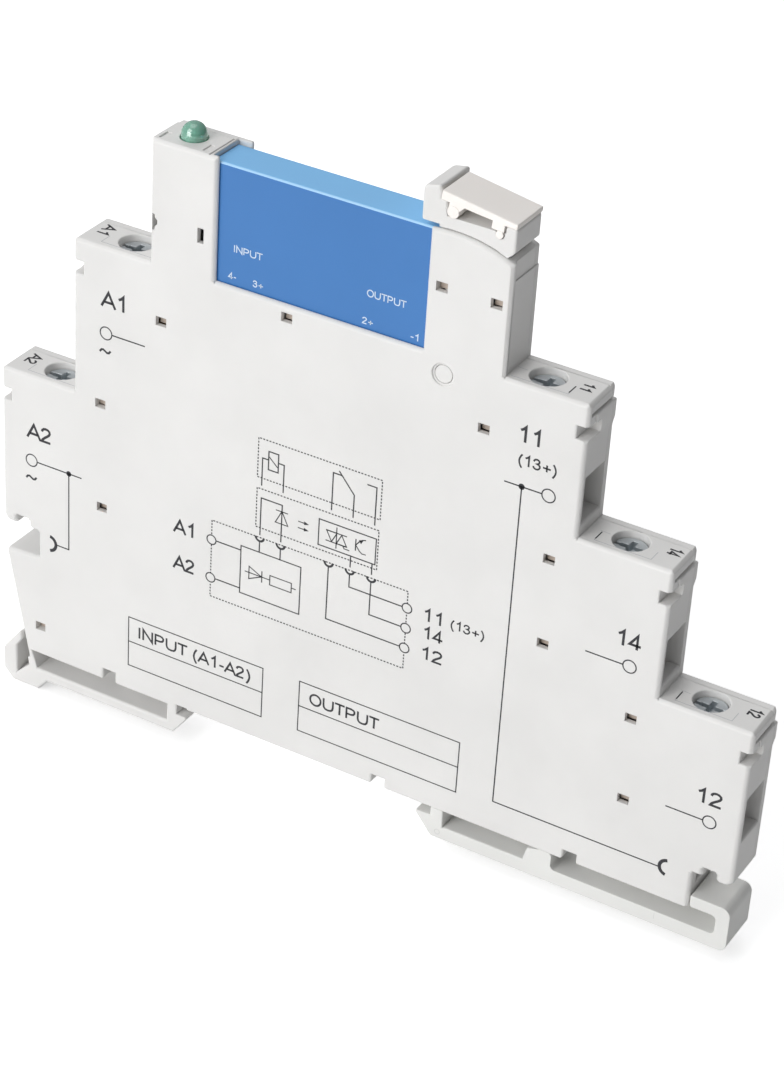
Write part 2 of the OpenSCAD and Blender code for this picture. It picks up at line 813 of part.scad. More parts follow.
// The plate's own frame: along its underside, from its left end.
function plate_span() = (lever_head_r - plate_l) / cos(plate_tilt);
module plate_frame() {
    translate([plate_l, plate_under_z]) rotate(-plate_tilt) children();
}

// Where the legs and the right pin stand along the plate's underside, and how low the right leg is.
function left_leg_l() = left_pin_x - left_pin_d * 0.45;
function right_pin() = plate_span() - right_pin_in;
function right_leg_l() = right_pin() - 1.2 * right_pin_d;
function right_leg_r() = right_pin() + right_pin_d * 0.45;
function leg_low() = (head_under_z + head_slot_rise + play - plate_under_z) / cos(plate_tilt)
    + right_leg_r() * tan(plate_tilt);

// Marker plate: a tilted wedge whose two legs end in round snap pins.
module marker_plate() {
    color([0.87, 0.85, 0.82]) slab(front_y, rear_y - head_rear_in) plate_frame() union() {
        polygon([
            [play, 0],
            [left_leg_l(), 0],
            [left_leg_l(), -left_pin_drop],
            [left_pin_x + left_pin_d / 3, -left_pin_drop],
            [left_pin_x + left_pin_d / 2 + left_pin_drop / 2, 0],
            [right_leg_l(), 0],
            [right_leg_l(), leg_low()],
            [right_leg_r(), leg_low()],
            [right_leg_r(), 0],
            [plate_span(), 0],
            [plate_span(), plate_end_t],
            [play, plate_t]
        ]);
        translate([left_pin_x, -left_pin_drop]) circle(d = left_pin_d);
        translate([right_pin(), -right_pin_drop]) circle(d = right_pin_d);
    }
}

// Rail latch: spring hook, windowed beam, curled end, and tongues that run in the bottom wall.
module rail_latch() {
    color([0.87, 0.89, 0.89]) {
        slab(-latch_t / 2, latch_t / 2) difference() {
            union() {
                polygon([
                    [slot_x, -play / 2],
                    [slot_x, -lip_slot_h],
                    [slot_x - latch_reach, -lip_slot_h],
                    [slot_x - latch_reach, -lip_slot_h - hook_toe / 2],
                    [slot_x + hook_toe / 2, -foot_h],
                    [latch_web_r + end_round, -foot_h],
                    [latch_web_r + end_round, -play / 2]
                ]);
                difference() {
                    soft_rect(latch_web_l, latch_r, -foot_h, curl_top, end_round);
                    rect(latch_web_l - over, case_r + play, -play / 2, curl_top + over);
                }
            }
            latch_windows();
        }
        for (x = [slot_x + tongue_inset, latch_web_l + tongue_inset])
            latch_tongue(x);
    }
}

// The long windows in the latch, which leave the hook, the web and the curled end.
module latch_windows() {
    slant = 2 * hook_toe;
    polygon([
        [slot_x + foot_web, over],
        [slot_x + foot_web, beam_top - beam_t / 4 + hook_toe],
        [slot_x + foot_web + hook_toe, beam_top + beam_t / 4],
        [latch_web_l - 2 * slant, beam_top + beam_t / 4],
        [latch_web_l - 1.5 * slant, -hook_toe],
        [latch_web_l, -play],
        [latch_web_l, over]
    ]);
    soft_rect(latch_web_r, latch_r - latch_end_wall, beam_top + beam_t / 3, curl_top - curl_t, window_round);
    rect(latch_web_r, case_r, -beam_t, curl_top - curl_t);
}

// A rectangle in X and Z with round corners.
module soft_rect(x0, x1, z0, z1, r) {
    rect(x0 + r, x1 - r, z0, z1);
    rect(x0, x1, z0 + r, z1 - r);
    for (x = [x0 + r, x1 - r], z = [z0 + r, z1 - r]) translate([x, z]) circle(r);
}

// A tongue: a neck through the bottom wall and a head that is wider than its slot.
module latch_tongue(x) {
    block([x, -neck_t / 2, -play], [x + tongue_w, neck_t / 2, wall_t + play + tongue_h]);
    block([x, -tongue_t / 2, wall_t + play], [x + tongue_w, tongue_t / 2, wall_t + play + tongue_h]);
}

// The relay's depth.
relay_y = front_y + face_recess;
relay_l = bay_l + play;
base_h = 1.6;
base_lip = 0.3;
relay_wall = 0.6;

// Relay case: a thin-walled blue box, open below.
module relay_case() {
    color([0.27, 0.51, 0.78]) difference() {
        block([relay_l, relay_y, floor_z + base_lip], [relay_l + relay_w, relay_y + relay_t, floor_z + relay_h]);
        block([relay_l + relay_wall, relay_y + relay_wall, floor_z - over],
              [relay_l + relay_w - relay_wall, relay_y + relay_t - relay_wall, floor_z + relay_h - relay_wall]);
    }
}

// Relay base: the plug that closes the case and holds the pins.
module relay_base() {
    color([0.12, 0.13, 0.15]) difference() {
        union() {
            block([relay_l + relay_wall + play, relay_y + relay_wall + play / 2, floor_z + base_lip],
                  [relay_l + relay_w - relay_wall - play, relay_y + relay_t - relay_wall - play / 2, floor_z + base_h]);
            block([relay_l, relay_y, floor_z], [relay_l + relay_w, relay_y + relay_t, floor_z + base_lip]);
        }
        for (i = PINS_USED)
            block([pin_x(i) - pin_w / 2, -pin_t / 2, floor_z - over], [pin_x(i) + pin_w / 2, pin_t / 2, floor_z + base_h + over]);
    }
}

// Relay pins: four blades that plug into the socket's contacts.
module relay_pins() {
    color([0.78, 0.78, 0.76]) for (i = PINS_USED)
        block([pin_x(i) - pin_w / 2, -pin_t / 2, floor_z - pin_len], [pin_x(i) + pin_w / 2, pin_t / 2, floor_z + base_h + wall_t]);
}

// Relay board: the small board that stands on the base and carries the switching chips.
relay_board_t = 0.8;
relay_board_side = 1.2;
module relay_board() {
    color([0.1, 0.4, 0.25]) block(
        [relay_l + relay_board_side, pin_t / 2, floor_z + base_h],
        [relay_l + relay_w - relay_board_side, pin_t / 2 + relay_board_t, floor_z + relay_h - relay_board_side]);
}

// Relay chips: the optocoupler and the power switch on the relay's board.
chip_t = 1.1;
chip_w = 5;
chip_h = 6;
power_w = 9;
power_h = 8;
module relay_chips() {
    z = floor_z + base_h + 2 * wall_t;
    color([0.1, 0.1, 0.11]) {
        block([pin_x(1), pin_t / 2 - chip_t, z], [pin_x(1) + chip_w, pin_t / 2, z + chip_h]);
        block([pin_x(3) - power_w / 2, pin_t / 2 - chip_t, z], [pin_x(3) + power_w / 2, pin_t / 2, z + power_h]);
    }
}

// A terminal screw: head with a cross recess and a plain shank where the thread runs.
recess_w = 0.7;
recess_d = 1.1;
module terminal_screw(t) {
    head_z = t[1] - head_sink;
    tip_z = t[1] - entry_z + bar_t + play;
    color([0.75, 0.77, 0.78]) translate([screw_x(t), 0, 0]) difference() {
        union() {
            translate([0, 0, head_z - head_h]) cylinder(d = head_d, h = head_h);
            translate([0, 0, tip_z]) cylinder(d = shank_d, h = head_z - head_h - tip_z + play);
        }
        for (a = [0, 90]) rotate([0, 0, a])
            block([-head_d / 3, -recess_w / 2, head_z - recess_d], [head_d / 3, recess_w / 2, head_z + over]);
        block([-head_d / 2 - over, -recess_w / 3, head_z - recess_d / 2],
              [head_d / 2 + over, recess_w / 3, head_z + over]);
    }
}

// A clamp: the square cage that the screw draws up to grip the wire against the bus bar.
module terminal_clamp(t) {
    top = t[1] - clamp_top;
    bottom = t[1] - entry_z - entry_h - bar_t + play;
    side = screw_x(t);
    color([0.72, 0.73, 0.72]) difference() {
        block([side - clamp_w / 2, -clamp_t / 2, bottom], [side + clamp_w / 2, clamp_t / 2, top]);
        block([side - clamp_w / 2 - over, clamp_wall - clamp_t / 2, bottom + clamp_wall],
              [side + clamp_w / 2 + over, clamp_t / 2 - clamp_wall, top - thread_t]);
        translate([side, 0, top - thread_t - over]) cylinder(d = shank_d + 2 * run_gap, h = thread_t + 2 * over);
    }
}

// The stretch of a bus bar that lies in a clamp, and its foot on the front wall.
bar_w = clamp_t - 2 * clamp_wall - 4 * play;
function bar_end(t) = rib_x(t) - t[2] * strip_w;
module clamp_bar(t) {
    out = screw_x(t) + t[2] * chamber_w / 3;
    end = bar_end(t);
    z = t[1] - entry_z;
    block([min(out, end), -bar_w / 2, z], [max(out, end), bar_w / 2, z + bar_t]);
    block([min(end, end + t[2] * strip_w), inner_y, z], [max(end, end + t[2] * strip_w), bar_w / 2, z + bar_t]);
}

// A strip on the front wall that runs from a clamp to x, and then up or down to z.
module strip_to(t, x, z) {
    end = bar_end(t);
    bar_z = t[1] - entry_z;
    low = bar_z + bar_t - strip_w;
    slab(inner_y, inner_y + strip_t) {
        rect(min(end, x - strip_w / 2), max(end + max(t[2], 0) * strip_w, x + strip_w / 2), low, low + strip_w);
        rect(x - strip_w / 2, x + strip_w / 2, min(low, z), max(low + strip_w, z));
    }
}

// The foot of a switch contact, where its strip ends.
contact_foot = contact_bottom + strip_t;

copper = [0.78, 0.6, 0.36];
module busbar_11() {
    color(copper) {
        clamp_bar(T_11);
        strip_to(T_11, pin_x(4), contact_foot);
    }
}
module busbar_14() {
    color(copper) {
        clamp_bar(T_14);
        strip_to(T_14, pin_x(3), contact_foot);
    }
}
module busbar_12() {
    color(copper) {
        clamp_bar(T_12);
        strip_to(T_12, pin_x(2), contact_foot);
    }
}

// The input bars end in a lug that crosses to the board.
module input_bar(t, x) {
    board_y = joint_y - board_t;
    z = t[1] - entry_z + bar_t - strip_w;
    clamp_bar(t);
    slab(inner_y, inner_y + strip_t)
        rect(bar_end(t) - strip_w, x + strip_w, z, z + strip_w);
    slab(inner_y, board_y) rect(x, x + strip_w, min(z, board_top - strip_w), z + strip_w);
}
module busbar_a1() {
    color(copper) input_bar(T_A1, lamp_x + lead_gap / 2 + lead_w);
}
module busbar_a2() {
    color(copper) input_bar(T_A2, board_l + strip_w);
}

// The jumper contacts: a strip from the bus bar and a fork behind the slit.
fork_w = 3;
module jumper_contact_a2() {
    x = rib_x(T_A2) + 2 * play;
    bar_z = top_a2 - entry_z + bar_t - strip_w;
    z = (jump_top + jump_bottom) / 2;
    color(copper) {
        slab(inner_y, inner_y + strip_t) rect(x, x + strip_w, z - strip_w / 2, bar_z);
        slab(inner_y, inner_y + strip_t) rect(jump_l + wall_t + play, x + strip_w, z - strip_w / 2, z + strip_w / 2);
        for (s = [-1, 1])
            block([jump_l + wall_t + play, inner_y, z + s * strip_w / 2 - strip_t / 2],
                  [jump_l + wall_t + play + fork_w, contact_w / 2, z + s * strip_w / 2 + strip_t / 2]);
    }
}
module jumper_contact_11() {
    x = bar_end(T_11);
    bar_z = top_11 - entry_z;
    z = jump_r_z - 1.5 * wall_t;
    lift = inner_y + 2 * strip_t;
    color(copper) {
        slab(lift, lift + strip_t) rect(x - strip_w, x, z - strip_w / 2, bar_z + bar_t);
        slab(lift, lift + strip_t) rect(x - strip_w, case_r - wall_t - play, z - strip_w / 2, z + strip_w / 2);
        slab(inner_y + strip_t, lift + play) rect(x - strip_w, x, bar_z + bar_t - strip_w, bar_z + bar_t);
        for (s = [-1, 1])
            block([case_r - wall_t - play - fork_w, lift, z + s * strip_w / 2 - strip_t / 2],
                  [case_r - wall_t - play, contact_w / 2, z + s * strip_w / 2 + strip_t / 2]);
    }
}

// A socket contact: two leaves that grip a pin, joined by a foot that reaches its strip or the board.
module socket_contact(x, foot_y0, foot_y1) {
    grip = pin_t / 2;
    for (s = [-1, 1])
        block([x - contact_w / 2, s > 0 ? grip : -grip - leaf_t, contact_bottom],
              [x + contact_w / 2, s > 0 ? grip + leaf_t : -grip, contact_top]);
    block([x - contact_w / 2, min(foot_y0, -grip - leaf_t), contact_bottom],
          [x + contact_w / 2, max(foot_y1, grip + leaf_t), contact_bottom + strip_t]);
}
module switch_contacts() {
    color([0.8, 0.74, 0.6]) for (i = [2, 3, 4])
        socket_contact(pin_x(i), inner_y + strip_t, 0);
}
module coil_contacts() {
    board_y = joint_y - board_t;
    color([0.8, 0.74, 0.6]) for (i = [0, 1]) {
        socket_contact(pin_x(i), 0, board_y);
        block([pin_x(i) - contact_w / 4, board_y - strip_t, board_top - strip_w],
              [pin_x(i) + contact_w / 4, board_y, contact_bottom + strip_t]);
    }
}

// Circuit board: it lies on the rear cover and carries the input parts.
module circuit_board() {
    color([0.12, 0.42, 0.25]) block([board_l, joint_y - board_t, board_bottom], [board_r, joint_y, board_top]);
}
parts_y = joint_y - board_t;
rectifier_w = 4.7;
rectifier_h = 3.9;
rectifier_t = 2.4;
rectifier_in = 16.5;
rectifier_rise = 27;
rectifier_x = board_l + rectifier_in;
rectifier_z = board_bottom + rectifier_rise;
module bridge_rectifier() {
    color([0.1, 0.1, 0.11])
        block([rectifier_x, parts_y - rectifier_t, rectifier_z],
              [rectifier_x + rectifier_w, parts_y, rectifier_z + rectifier_h]);
}
dropper_w = 13;
dropper_h = 9;
dropper_t = 2.6;
dropper_in = 1.5;
dropper_rise = 6;
dropper_x = board_l + dropper_in;
dropper_z = board_bottom + dropper_rise;
module dropper_capacitor() {
    color([0.72, 0.2, 0.14])
        block([dropper_x, parts_y - dropper_t, dropper_z], [dropper_x + dropper_w, parts_y, dropper_z + dropper_h]);
}
smoothing_w = 7.3;
smoothing_h = 4.3;
smoothing_t = 2;
smoothing_in = 25.5;
smoothing_rise = 20;
smoothing_x = board_l + smoothing_in;
smoothing_z = board_bottom + smoothing_rise;
module smoothing_capacitor() {
    color([0.85, 0.62, 0.2])
        block([smoothing_x, parts_y - smoothing_t, smoothing_z],
              [smoothing_x + smoothing_w, parts_y, smoothing_z + smoothing_h]);
}
resistor_w = 3.2;
resistor_h = 1.6;
resistor_t = 0.6;
resistor_gap = 2.6;
module series_resistors() {
    color([0.15, 0.15, 0.16]) for (i = [0 : 3])
        block([rectifier_x, parts_y - resistor_t, dropper_z + i * resistor_gap],
              [rectifier_x + resistor_w, parts_y, dropper_z + i * resistor_gap + resistor_h]);
}

// Status lamp: a green dome with its flange under the tower's top and two leads to the board.
module status_lamp() {
    base_z = lamp_top_z - wall_t - play;
    color([0.2, 0.6, 0.45]) {
        translate([lamp_x, 0, base_z]) cylinder(d = lamp_d, h = lamp_cone_h + play + wall_t - lamp_d / 4);
        intersection() {
            translate([lamp_x, 0, lamp_top_z + lamp_cone_h - lamp_d / 4]) sphere(d = lamp_d);
            block([lamp_x - lamp_d, -lamp_d, lamp_top_z], [lamp_x + lamp_d, lamp_d, lamp_top_z + 2 * lamp_d]);
        }
        translate([lamp_x, 0, base_z - lamp_flange_h]) cylinder(d = lamp_flange_d, h = lamp_flange_h);
        translate([lamp_x, 0, base_z - lamp_flange_h - lamp_body_h]) cylinder(d = lamp_d, h = lamp_body_h);
    }
    foot_z = board_top - strip_w;
    color([0.78, 0.78, 0.76]) for (x = [lamp_x - lead_gap / 2, lamp_x + lead_gap / 2]) {
        block([x - lead_w / 2, -lead_w / 2, foot_z], [x + lead_w / 2, lead_w / 2, base_z - lamp_flange_h]);
        block([x - lead_w / 2, -lead_w / 2, foot_z], [x + lead_w / 2, joint_y - board_t, foot_z + lead_w]);
    }
}

module screw_a1() { terminal_screw(T_A1); }
module screw_a2() { terminal_screw(T_A2); }
module screw_11() { terminal_screw(T_11); }
module screw_14() { terminal_screw(T_14); }
module screw_12() { terminal_screw(T_12); }
module clamp_a1() { terminal_clamp(T_A1); }
module clamp_a2() { terminal_clamp(T_A2); }
module clamp_11() { terminal_clamp(T_11); }
module clamp_14() { terminal_clamp(T_14); }
module clamp_12() { terminal_clamp(T_12); }

front_shell();
rear_cover();
ejector_lever();
marker_plate();
rail_latch();
relay_case();
relay_base();
relay_pins();
relay_board();
relay_chips();
screw_a1();
screw_a2();
screw_11();
screw_14();
screw_12();
clamp_a1();
clamp_a2();
clamp_11();
clamp_14();
clamp_12();
busbar_a1();
busbar_a2();
busbar_11();
busbar_14();
busbar_12();
jumper_contact_a2();
jumper_contact_11();
coil_contacts();
switch_contacts();
circuit_board();
bridge_rectifier();
dropper_capacitor();
smoothing_capacitor();
series_resistors();
status_lamp();
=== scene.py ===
import math

import bmesh
import bpy
from mathutils import Matrix, Vector


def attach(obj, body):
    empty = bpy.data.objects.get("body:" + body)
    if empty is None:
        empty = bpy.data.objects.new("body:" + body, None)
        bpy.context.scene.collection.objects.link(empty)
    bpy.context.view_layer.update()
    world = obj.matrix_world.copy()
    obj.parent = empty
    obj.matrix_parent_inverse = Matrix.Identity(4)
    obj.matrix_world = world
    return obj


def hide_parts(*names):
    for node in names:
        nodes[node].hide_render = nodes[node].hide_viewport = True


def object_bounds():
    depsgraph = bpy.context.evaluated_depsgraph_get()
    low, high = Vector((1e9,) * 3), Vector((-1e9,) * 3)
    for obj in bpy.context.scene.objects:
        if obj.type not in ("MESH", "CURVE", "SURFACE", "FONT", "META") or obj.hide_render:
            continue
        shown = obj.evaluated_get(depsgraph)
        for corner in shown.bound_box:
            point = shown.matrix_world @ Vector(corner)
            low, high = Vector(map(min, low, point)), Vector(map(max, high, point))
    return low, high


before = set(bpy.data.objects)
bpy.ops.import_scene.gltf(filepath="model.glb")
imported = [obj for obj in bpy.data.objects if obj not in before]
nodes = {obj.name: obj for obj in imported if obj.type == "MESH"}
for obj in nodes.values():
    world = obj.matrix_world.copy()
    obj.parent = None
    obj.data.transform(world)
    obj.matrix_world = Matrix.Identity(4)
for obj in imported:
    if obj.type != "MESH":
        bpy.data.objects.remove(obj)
cad_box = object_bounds()
MM = 0.001

# Places from the CAD, in millimetres.
FACE_Y = -3.1  # the housing's front
JOINT_Y = 2.2  # where the two shells meet
LATCH_Y = -3.0  # the latch's front
RELAY_Y = -2.4  # the relay's front
TERMINALS = ["a1", "a2", "11", "14", "12"]
TOPS = {"11": 58.7, "a1": 58.7, "14": 42.35, "12": 26.0, "a2": 38.8}
SCREW_X = {"11": 26.25, "14": 37.8, "12": 49.35, "a1": -26.35, "a2": -36.65}
# The face's windows for the snap pegs: their size, and the lower left corner of each.
WINDOW_W = 1.4
WINDOW_H = 1.15
WINDOWS = [(-38.493, 3.265), (-29.789, 37.728), (-29.48, 23.698), (-21.58, 51.061),
           (-5.16, 56.754), (13.659, 66.375), (19.94, 51.258), (20.242, 66.375),
           (29.097, 38.015), (29.328, 27.125), (40.762, 21.665), (40.994, 10.775)]
# Ranges in X and Z of the face around its openings: the windows, and the lamp tower's slot.
OPENINGS = [((u - 0.1, u + 1.5), (v - 0.1, v + 1.3)) for u, v in WINDOWS]
OPENINGS.append(((-17.0, -14.5), (62.0, 69.0)))


# ---------------------------------------------------------------- materials

CLOUD_SCALE = 90.0
CLOUD_DETAIL = 3.0
CLOUD_ENDS = (0.3, 0.7)
GRAIN_DETAIL = 2.0
GLOSS_SPREAD = 0.07
LEAST_ROUGH = 0.03
COAT_ROUGH = 0.12
BUMP_STRENGTH = 0.35
SKIN_RADIUS = (0.0012, 0.0011, 0.001)
BEVEL_SAMPLES = 6


def link(tree, a, b):
    tree.links.new(a, b)


def surface(name, colour, rough, metal=0.0, blotch=0.03, grain=0.02, grain_size=0.22, dent=0.02,
            edge=0.10, brushed=None, worn=0.0, coat=0.0, subsurface=0.0):
    """A moulded or metal surface: soft colour and gloss variation, a fine grain, rounded edges."""
    mat = bpy.data.materials.new(name)
    mat.use_nodes = True
    tree = mat.node_tree
    n = tree.nodes
    bsdf = n["Principled BSDF"]
    bsdf.inputs["Metallic"].default_value = metal
    if coat:
        bsdf.inputs["Coat Weight"].default_value = coat
        bsdf.inputs["Coat Roughness"].default_value = COAT_ROUGH
    if subsurface:
        bsdf.inputs["Subsurface Weight"].default_value = subsurface
        bsdf.inputs["Subsurface Radius"].default_value = SKIN_RADIUS
    place = n.new("ShaderNodeTexCoord")
    cloud = n.new("ShaderNodeTexNoise")
    cloud.inputs["Scale"].default_value = CLOUD_SCALE
    cloud.inputs["Detail"].default_value = CLOUD_DETAIL
    link(tree, place.outputs["Object"], cloud.inputs["Vector"])
    fine = n.new("ShaderNodeTexNoise")
    fine.inputs["Scale"].default_value = 1.0 / (grain_size * MM)
    fine.inputs["Detail"].default_value = GRAIN_DETAIL
    if brushed:
        squeeze = n.new("ShaderNodeMapping")
        squeeze.inputs["Scale"].default_value = brushed
        link(tree, place.outputs["Object"], squeeze.inputs["Vector"])
        link(tree, squeeze.outputs["Vector"], fine.inputs["Vector"])
    else:
        link(tree, place.outputs["Object"], fine.inputs["Vector"])
    ramp = n.new("ShaderNodeValToRGB")
    low = [max(0.0, c * (1 - blotch)) for c in colour]
    high = [min(1.0, c * (1 + blotch)) for c in colour]
    for end, position, tone in zip(ramp.color_ramp.elements, CLOUD_ENDS, (low, high)):
        end.position = position
        end.color = (*tone, 1)
    link(tree, cloud.outputs["Fac"], ramp.inputs["Fac"])
    mix = n.new("ShaderNodeMix")
    mix.data_type = "RGBA"
    mix.blend_type = "MULTIPLY"
    mix.inputs["Factor"].default_value = grain
    link(tree, ramp.outputs["Color"], mix.inputs["A"])
    link(tree, fine.outputs["Color"], mix.inputs["B"])
    link(tree, mix.outputs["Result"], bsdf.inputs["Base Color"])
    gloss = n.new("ShaderNodeMapRange")
    gloss.inputs["To Min"].default_value = max(LEAST_ROUGH, rough - GLOSS_SPREAD - worn)
    gloss.inputs["To Max"].default_value = min(1.0, rough + GLOSS_SPREAD + worn)
    link(tree, cloud.outputs["Fac"], gloss.inputs["Value"])
    link(tree, gloss.outputs["Result"], bsdf.inputs["Roughness"])
    bump = n.new("ShaderNodeBump")
    bump.inputs["Strength"].default_value = BUMP_STRENGTH
    bump.inputs["Distance"].default_value = dent * MM
    link(tree, fine.outputs["Fac"], bump.inputs["Height"])
    if edge:
        soft = n.new("ShaderNodeBevel")
        soft.samples = BEVEL_SAMPLES
        soft.inputs["Radius"].default_value = edge * MM
        link(tree, soft.outputs["Normal"], bump.inputs["Normal"])
    link(tree, bump.outputs["Normal"], bsdf.inputs["Normal"])
    return mat


def srgb(r, g, b):
    """A colour written as a picture shows it, in 0 to 255, to linear values."""
    def lin(c):
        c /= 255.0
        return c / 12.92 if c <= 0.04045 else ((c + 0.055) / 1.055) ** 2.4
    return (lin(r), lin(g), lin(b))


case = surface("case_grey", srgb(229, 228, 226), 0.46, edge=0.16, subsurface=0.06)
cover = surface("cover_grey", srgb(226, 225, 223), 0.48, edge=0.12, subsurface=0.06)
clip = surface("clip_grey", srgb(230, 230, 227), 0.44, edge=0.14, subsurface=0.06)
lever_grey = surface("lever_grey", srgb(229, 228, 226), 0.42, edge=0.14, subsurface=0.06)
marker = surface("marker_cream", srgb(251, 246, 241), 0.5, edge=0.12, subsurface=0.08)
blue = surface("relay_blue", srgb(62, 122, 188), 0.40, blotch=0.02, edge=0.14, coat=0.1)
# Painted reflection: a lighter blue for the relay's top, for the room's light mirrored in it.
painted_top_reflection = surface("relay_top_painted_reflection", srgb(131, 193, 242), 0.6, blotch=0.02, edge=0.1)
# Painted highlight: a paler blue for the relay's rounded top edge.
painted_edge_highlight = surface("relay_edge_painted_highlight", srgb(162, 208, 244), 0.4, blotch=0.02, edge=0.05)
dark = surface("relay_dark", srgb(38, 40, 44), 0.5)
tin = surface("contact_tin", srgb(196, 198, 200), 0.26, metal=1.0, brushed=(1, 1, 12), worn=0.05)
board = surface("board_green", srgb(30, 98, 62), 0.4, blotch=0.12)
chip = surface("chip_black", srgb(30, 30, 32), 0.42)
cap_red = surface("capacitor_red", srgb(150, 44, 36), 0.38, coat=0.2)
cap_amber = surface("capacitor_amber", srgb(196, 140, 52), 0.4)
zinc = surface("screw_zinc", srgb(216, 221, 224), 0.46, metal=1.0, brushed=(6, 6, 1), grain=0.12,
               dent=0.03, edge=0.07, worn=0.06)
clamp_zinc = surface("clamp_zinc", srgb(178, 182, 186), 0.34, metal=1.0, brushed=(1, 1, 8),
                     grain=0.15, edge=0.06, worn=0.08)
copper = surface("copper_alloy", srgb(196, 146, 98), 0.32, metal=1.0, brushed=(1, 8, 1),
                 grain=0.12, edge=0.05)
# Painted shade: a darker tan for the peg ends deep in the face's windows.
tip_painted_shade = surface("peg_end_painted_shade", srgb(186, 172, 160), 0.6, edge=0)
ink = surface("print_ink", srgb(52, 52, 56), 0.5, blotch=0.1, grain=0.25, grain_size=0.08,
              dent=0.004, edge=0)
# Painted shade: a light grey for the shallow grooves on the step tops.
groove_shade = surface("panel_line", srgb(196, 197, 199), 0.5, blotch=0.06, grain=0.1,
                   grain_size=0.1, dent=0.004, edge=0)
# Painted shade: a slightly darker grey for the shallow mould marks on the latch.
mould_mark_shade = surface("mould_mark_shade", srgb(214, 214, 211), 0.5, edge=0)
pale_ink = surface("print_pale", srgb(214, 228, 242), 0.45, blotch=0.05, grain=0.1,
                   grain_size=0.08, dent=0.004, edge=0)


def lamp_material():
    """Tinted clear plastic, lit only by the room."""
    mat = surface("lamp_green", srgb(146, 212, 188), 0.12, edge=0, coat=1.0, subsurface=0.4)
    bsdf = mat.node_tree.nodes["Principled BSDF"]
    bsdf.inputs["Transmission Weight"].default_value = 0.4
    bsdf.inputs["Coat Roughness"].default_value = 0.03
    bsdf.inputs["Coat IOR"].default_value = 1.9
    bsdf.inputs["IOR"].default_value = 1.49
    return mat


NODE_LOOKS = {
    "front_shell": case, "rear_cover": cover, "ejector_lever": lever_grey,
    "marker_plate": marker, "rail_latch": clip, "relay_case": blue, "relay_base": dark,
    "relay_pins": tin, "relay_board": board, "relay_chips": chip,
    "status_lamp": lamp_material(), "circuit_board": board, "bridge_rectifier": chip,
    "dropper_capacitor": cap_red, "smoothing_capacitor": cap_amber, "series_resistors": chip,
    "coil_contacts": tin, "switch_contacts": tin, "jumper_contact_a2": tin,
    "jumper_contact_11": tin,
}
for t in TERMINALS:
    NODE_LOOKS["screw_" + t] = zinc
    NODE_LOOKS["clamp_" + t] = clamp_zinc
    NODE_LOOKS["busbar_" + t] = copper
for name, look in NODE_LOOKS.items():
    nodes[name].data.materials.clear()
    nodes[name].data.materials.append(look)


# ---------------------------------------------------------------- rounded copies of CAD nodes

SAME_CORNER = 2e-7  # metres between corners that are one
# Angles between two faces, in degrees: the most in one flat face, and the least at an outer
# edge and at a sharp one.
SAME_FACE = 0.6
OUTER_EDGE = 28.0
SHARP_EDGE = 33.0
# Rounding in millimetres: the least, and the most on the shells' joint and on short curve steps.
LEAST_ROUND = 0.04
JOINT_ROUND = 0.06
CURVE_ROUND = 0.12
ROUND_STEPS = 3
# A rounding takes one part in so many of the next edges' length, and of the room to a corner.
NEXT_ROOM = 2.2
NEAR_ROOM = 3
OPENING_EDGE = 2.4  # shorter edges, in millimetres, may belong to an opening
ON_PLANE = 0.001
ALONG_X = 0.9  # the least share of its length that an edge along X has in X
# Neighbours in a curve: the range of the cosine between them, and their least edge angle.
CURVE_TURN = (0.9, 0.9998)
CURVE_ANGLE = 0.4
# Faces shaded flat: the least share of their normal on one axis, and the area in m2.
FLAT_SHARE = 0.99999
FLAT_AREA = 8e-6
NORMAL_WEIGHT = 50


def new_object(name, mesh, look):
    mesh.materials.clear()
    mesh.materials.append(look)
    o = bpy.data.objects.new(name, mesh)
    bpy.context.scene.collection.objects.link(o)
    return o


def finish_piece(o, body):
    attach(o, body)


def baked(o):
    """Puts the object's modifiers into its mesh."""
    bpy.context.view_layer.update()
    name = o.data.name
    seen = o.evaluated_get(bpy.context.evaluated_depsgraph_get())
    o.data = bpy.data.meshes.new_from_object(seen)
    o.data.name = name
    o.modifiers.clear()


def curved(e):
    """Whether an edge is part of a curve that is drawn in short steps."""
    a = (e.verts[1].co - e.verts[0].co).normalized()
    for other in {o for v in e.verts for o in v.link_edges if o is not e}:
        b = (other.verts[1].co - other.verts[0].co).normalized()
        if (len(other.link_faces) == 2 and CURVE_TURN[0] < abs(a.dot(b)) < CURVE_TURN[1]
                and other.calc_face_angle_signed() > CURVE_ANGLE):
            return True
    return False


def in_opening(p):
    """Whether a point of the face lies at one of its openings."""
    return any(x0 < p.x < x1 and z0 < p.z < z1 for (x0, x1), (z0, z1) in OPENINGS)


def on_plane(a, b, y):
    """Whether two points lie in the plane at this Y."""
    return max(abs(a.y - y), abs(b.y - y)) < ON_PLANE


def near(e):
    """The least distance from an edge to another corner of its faces, neighbours left out."""
    a, b = (v.co for v in e.verts)
    along = b - a
    known = {other.other_vert(v) for v in e.verts for other in v.link_edges}
    least = 1.0  # metre, more than the part's size
    for v in {v for face in e.link_faces for v in face.verts} - known:
        t = min(1.0, max(0.0, (v.co - a).dot(along) / along.length_squared))
        least = min(least, (a + along * t - v.co).length)
    return least / MM


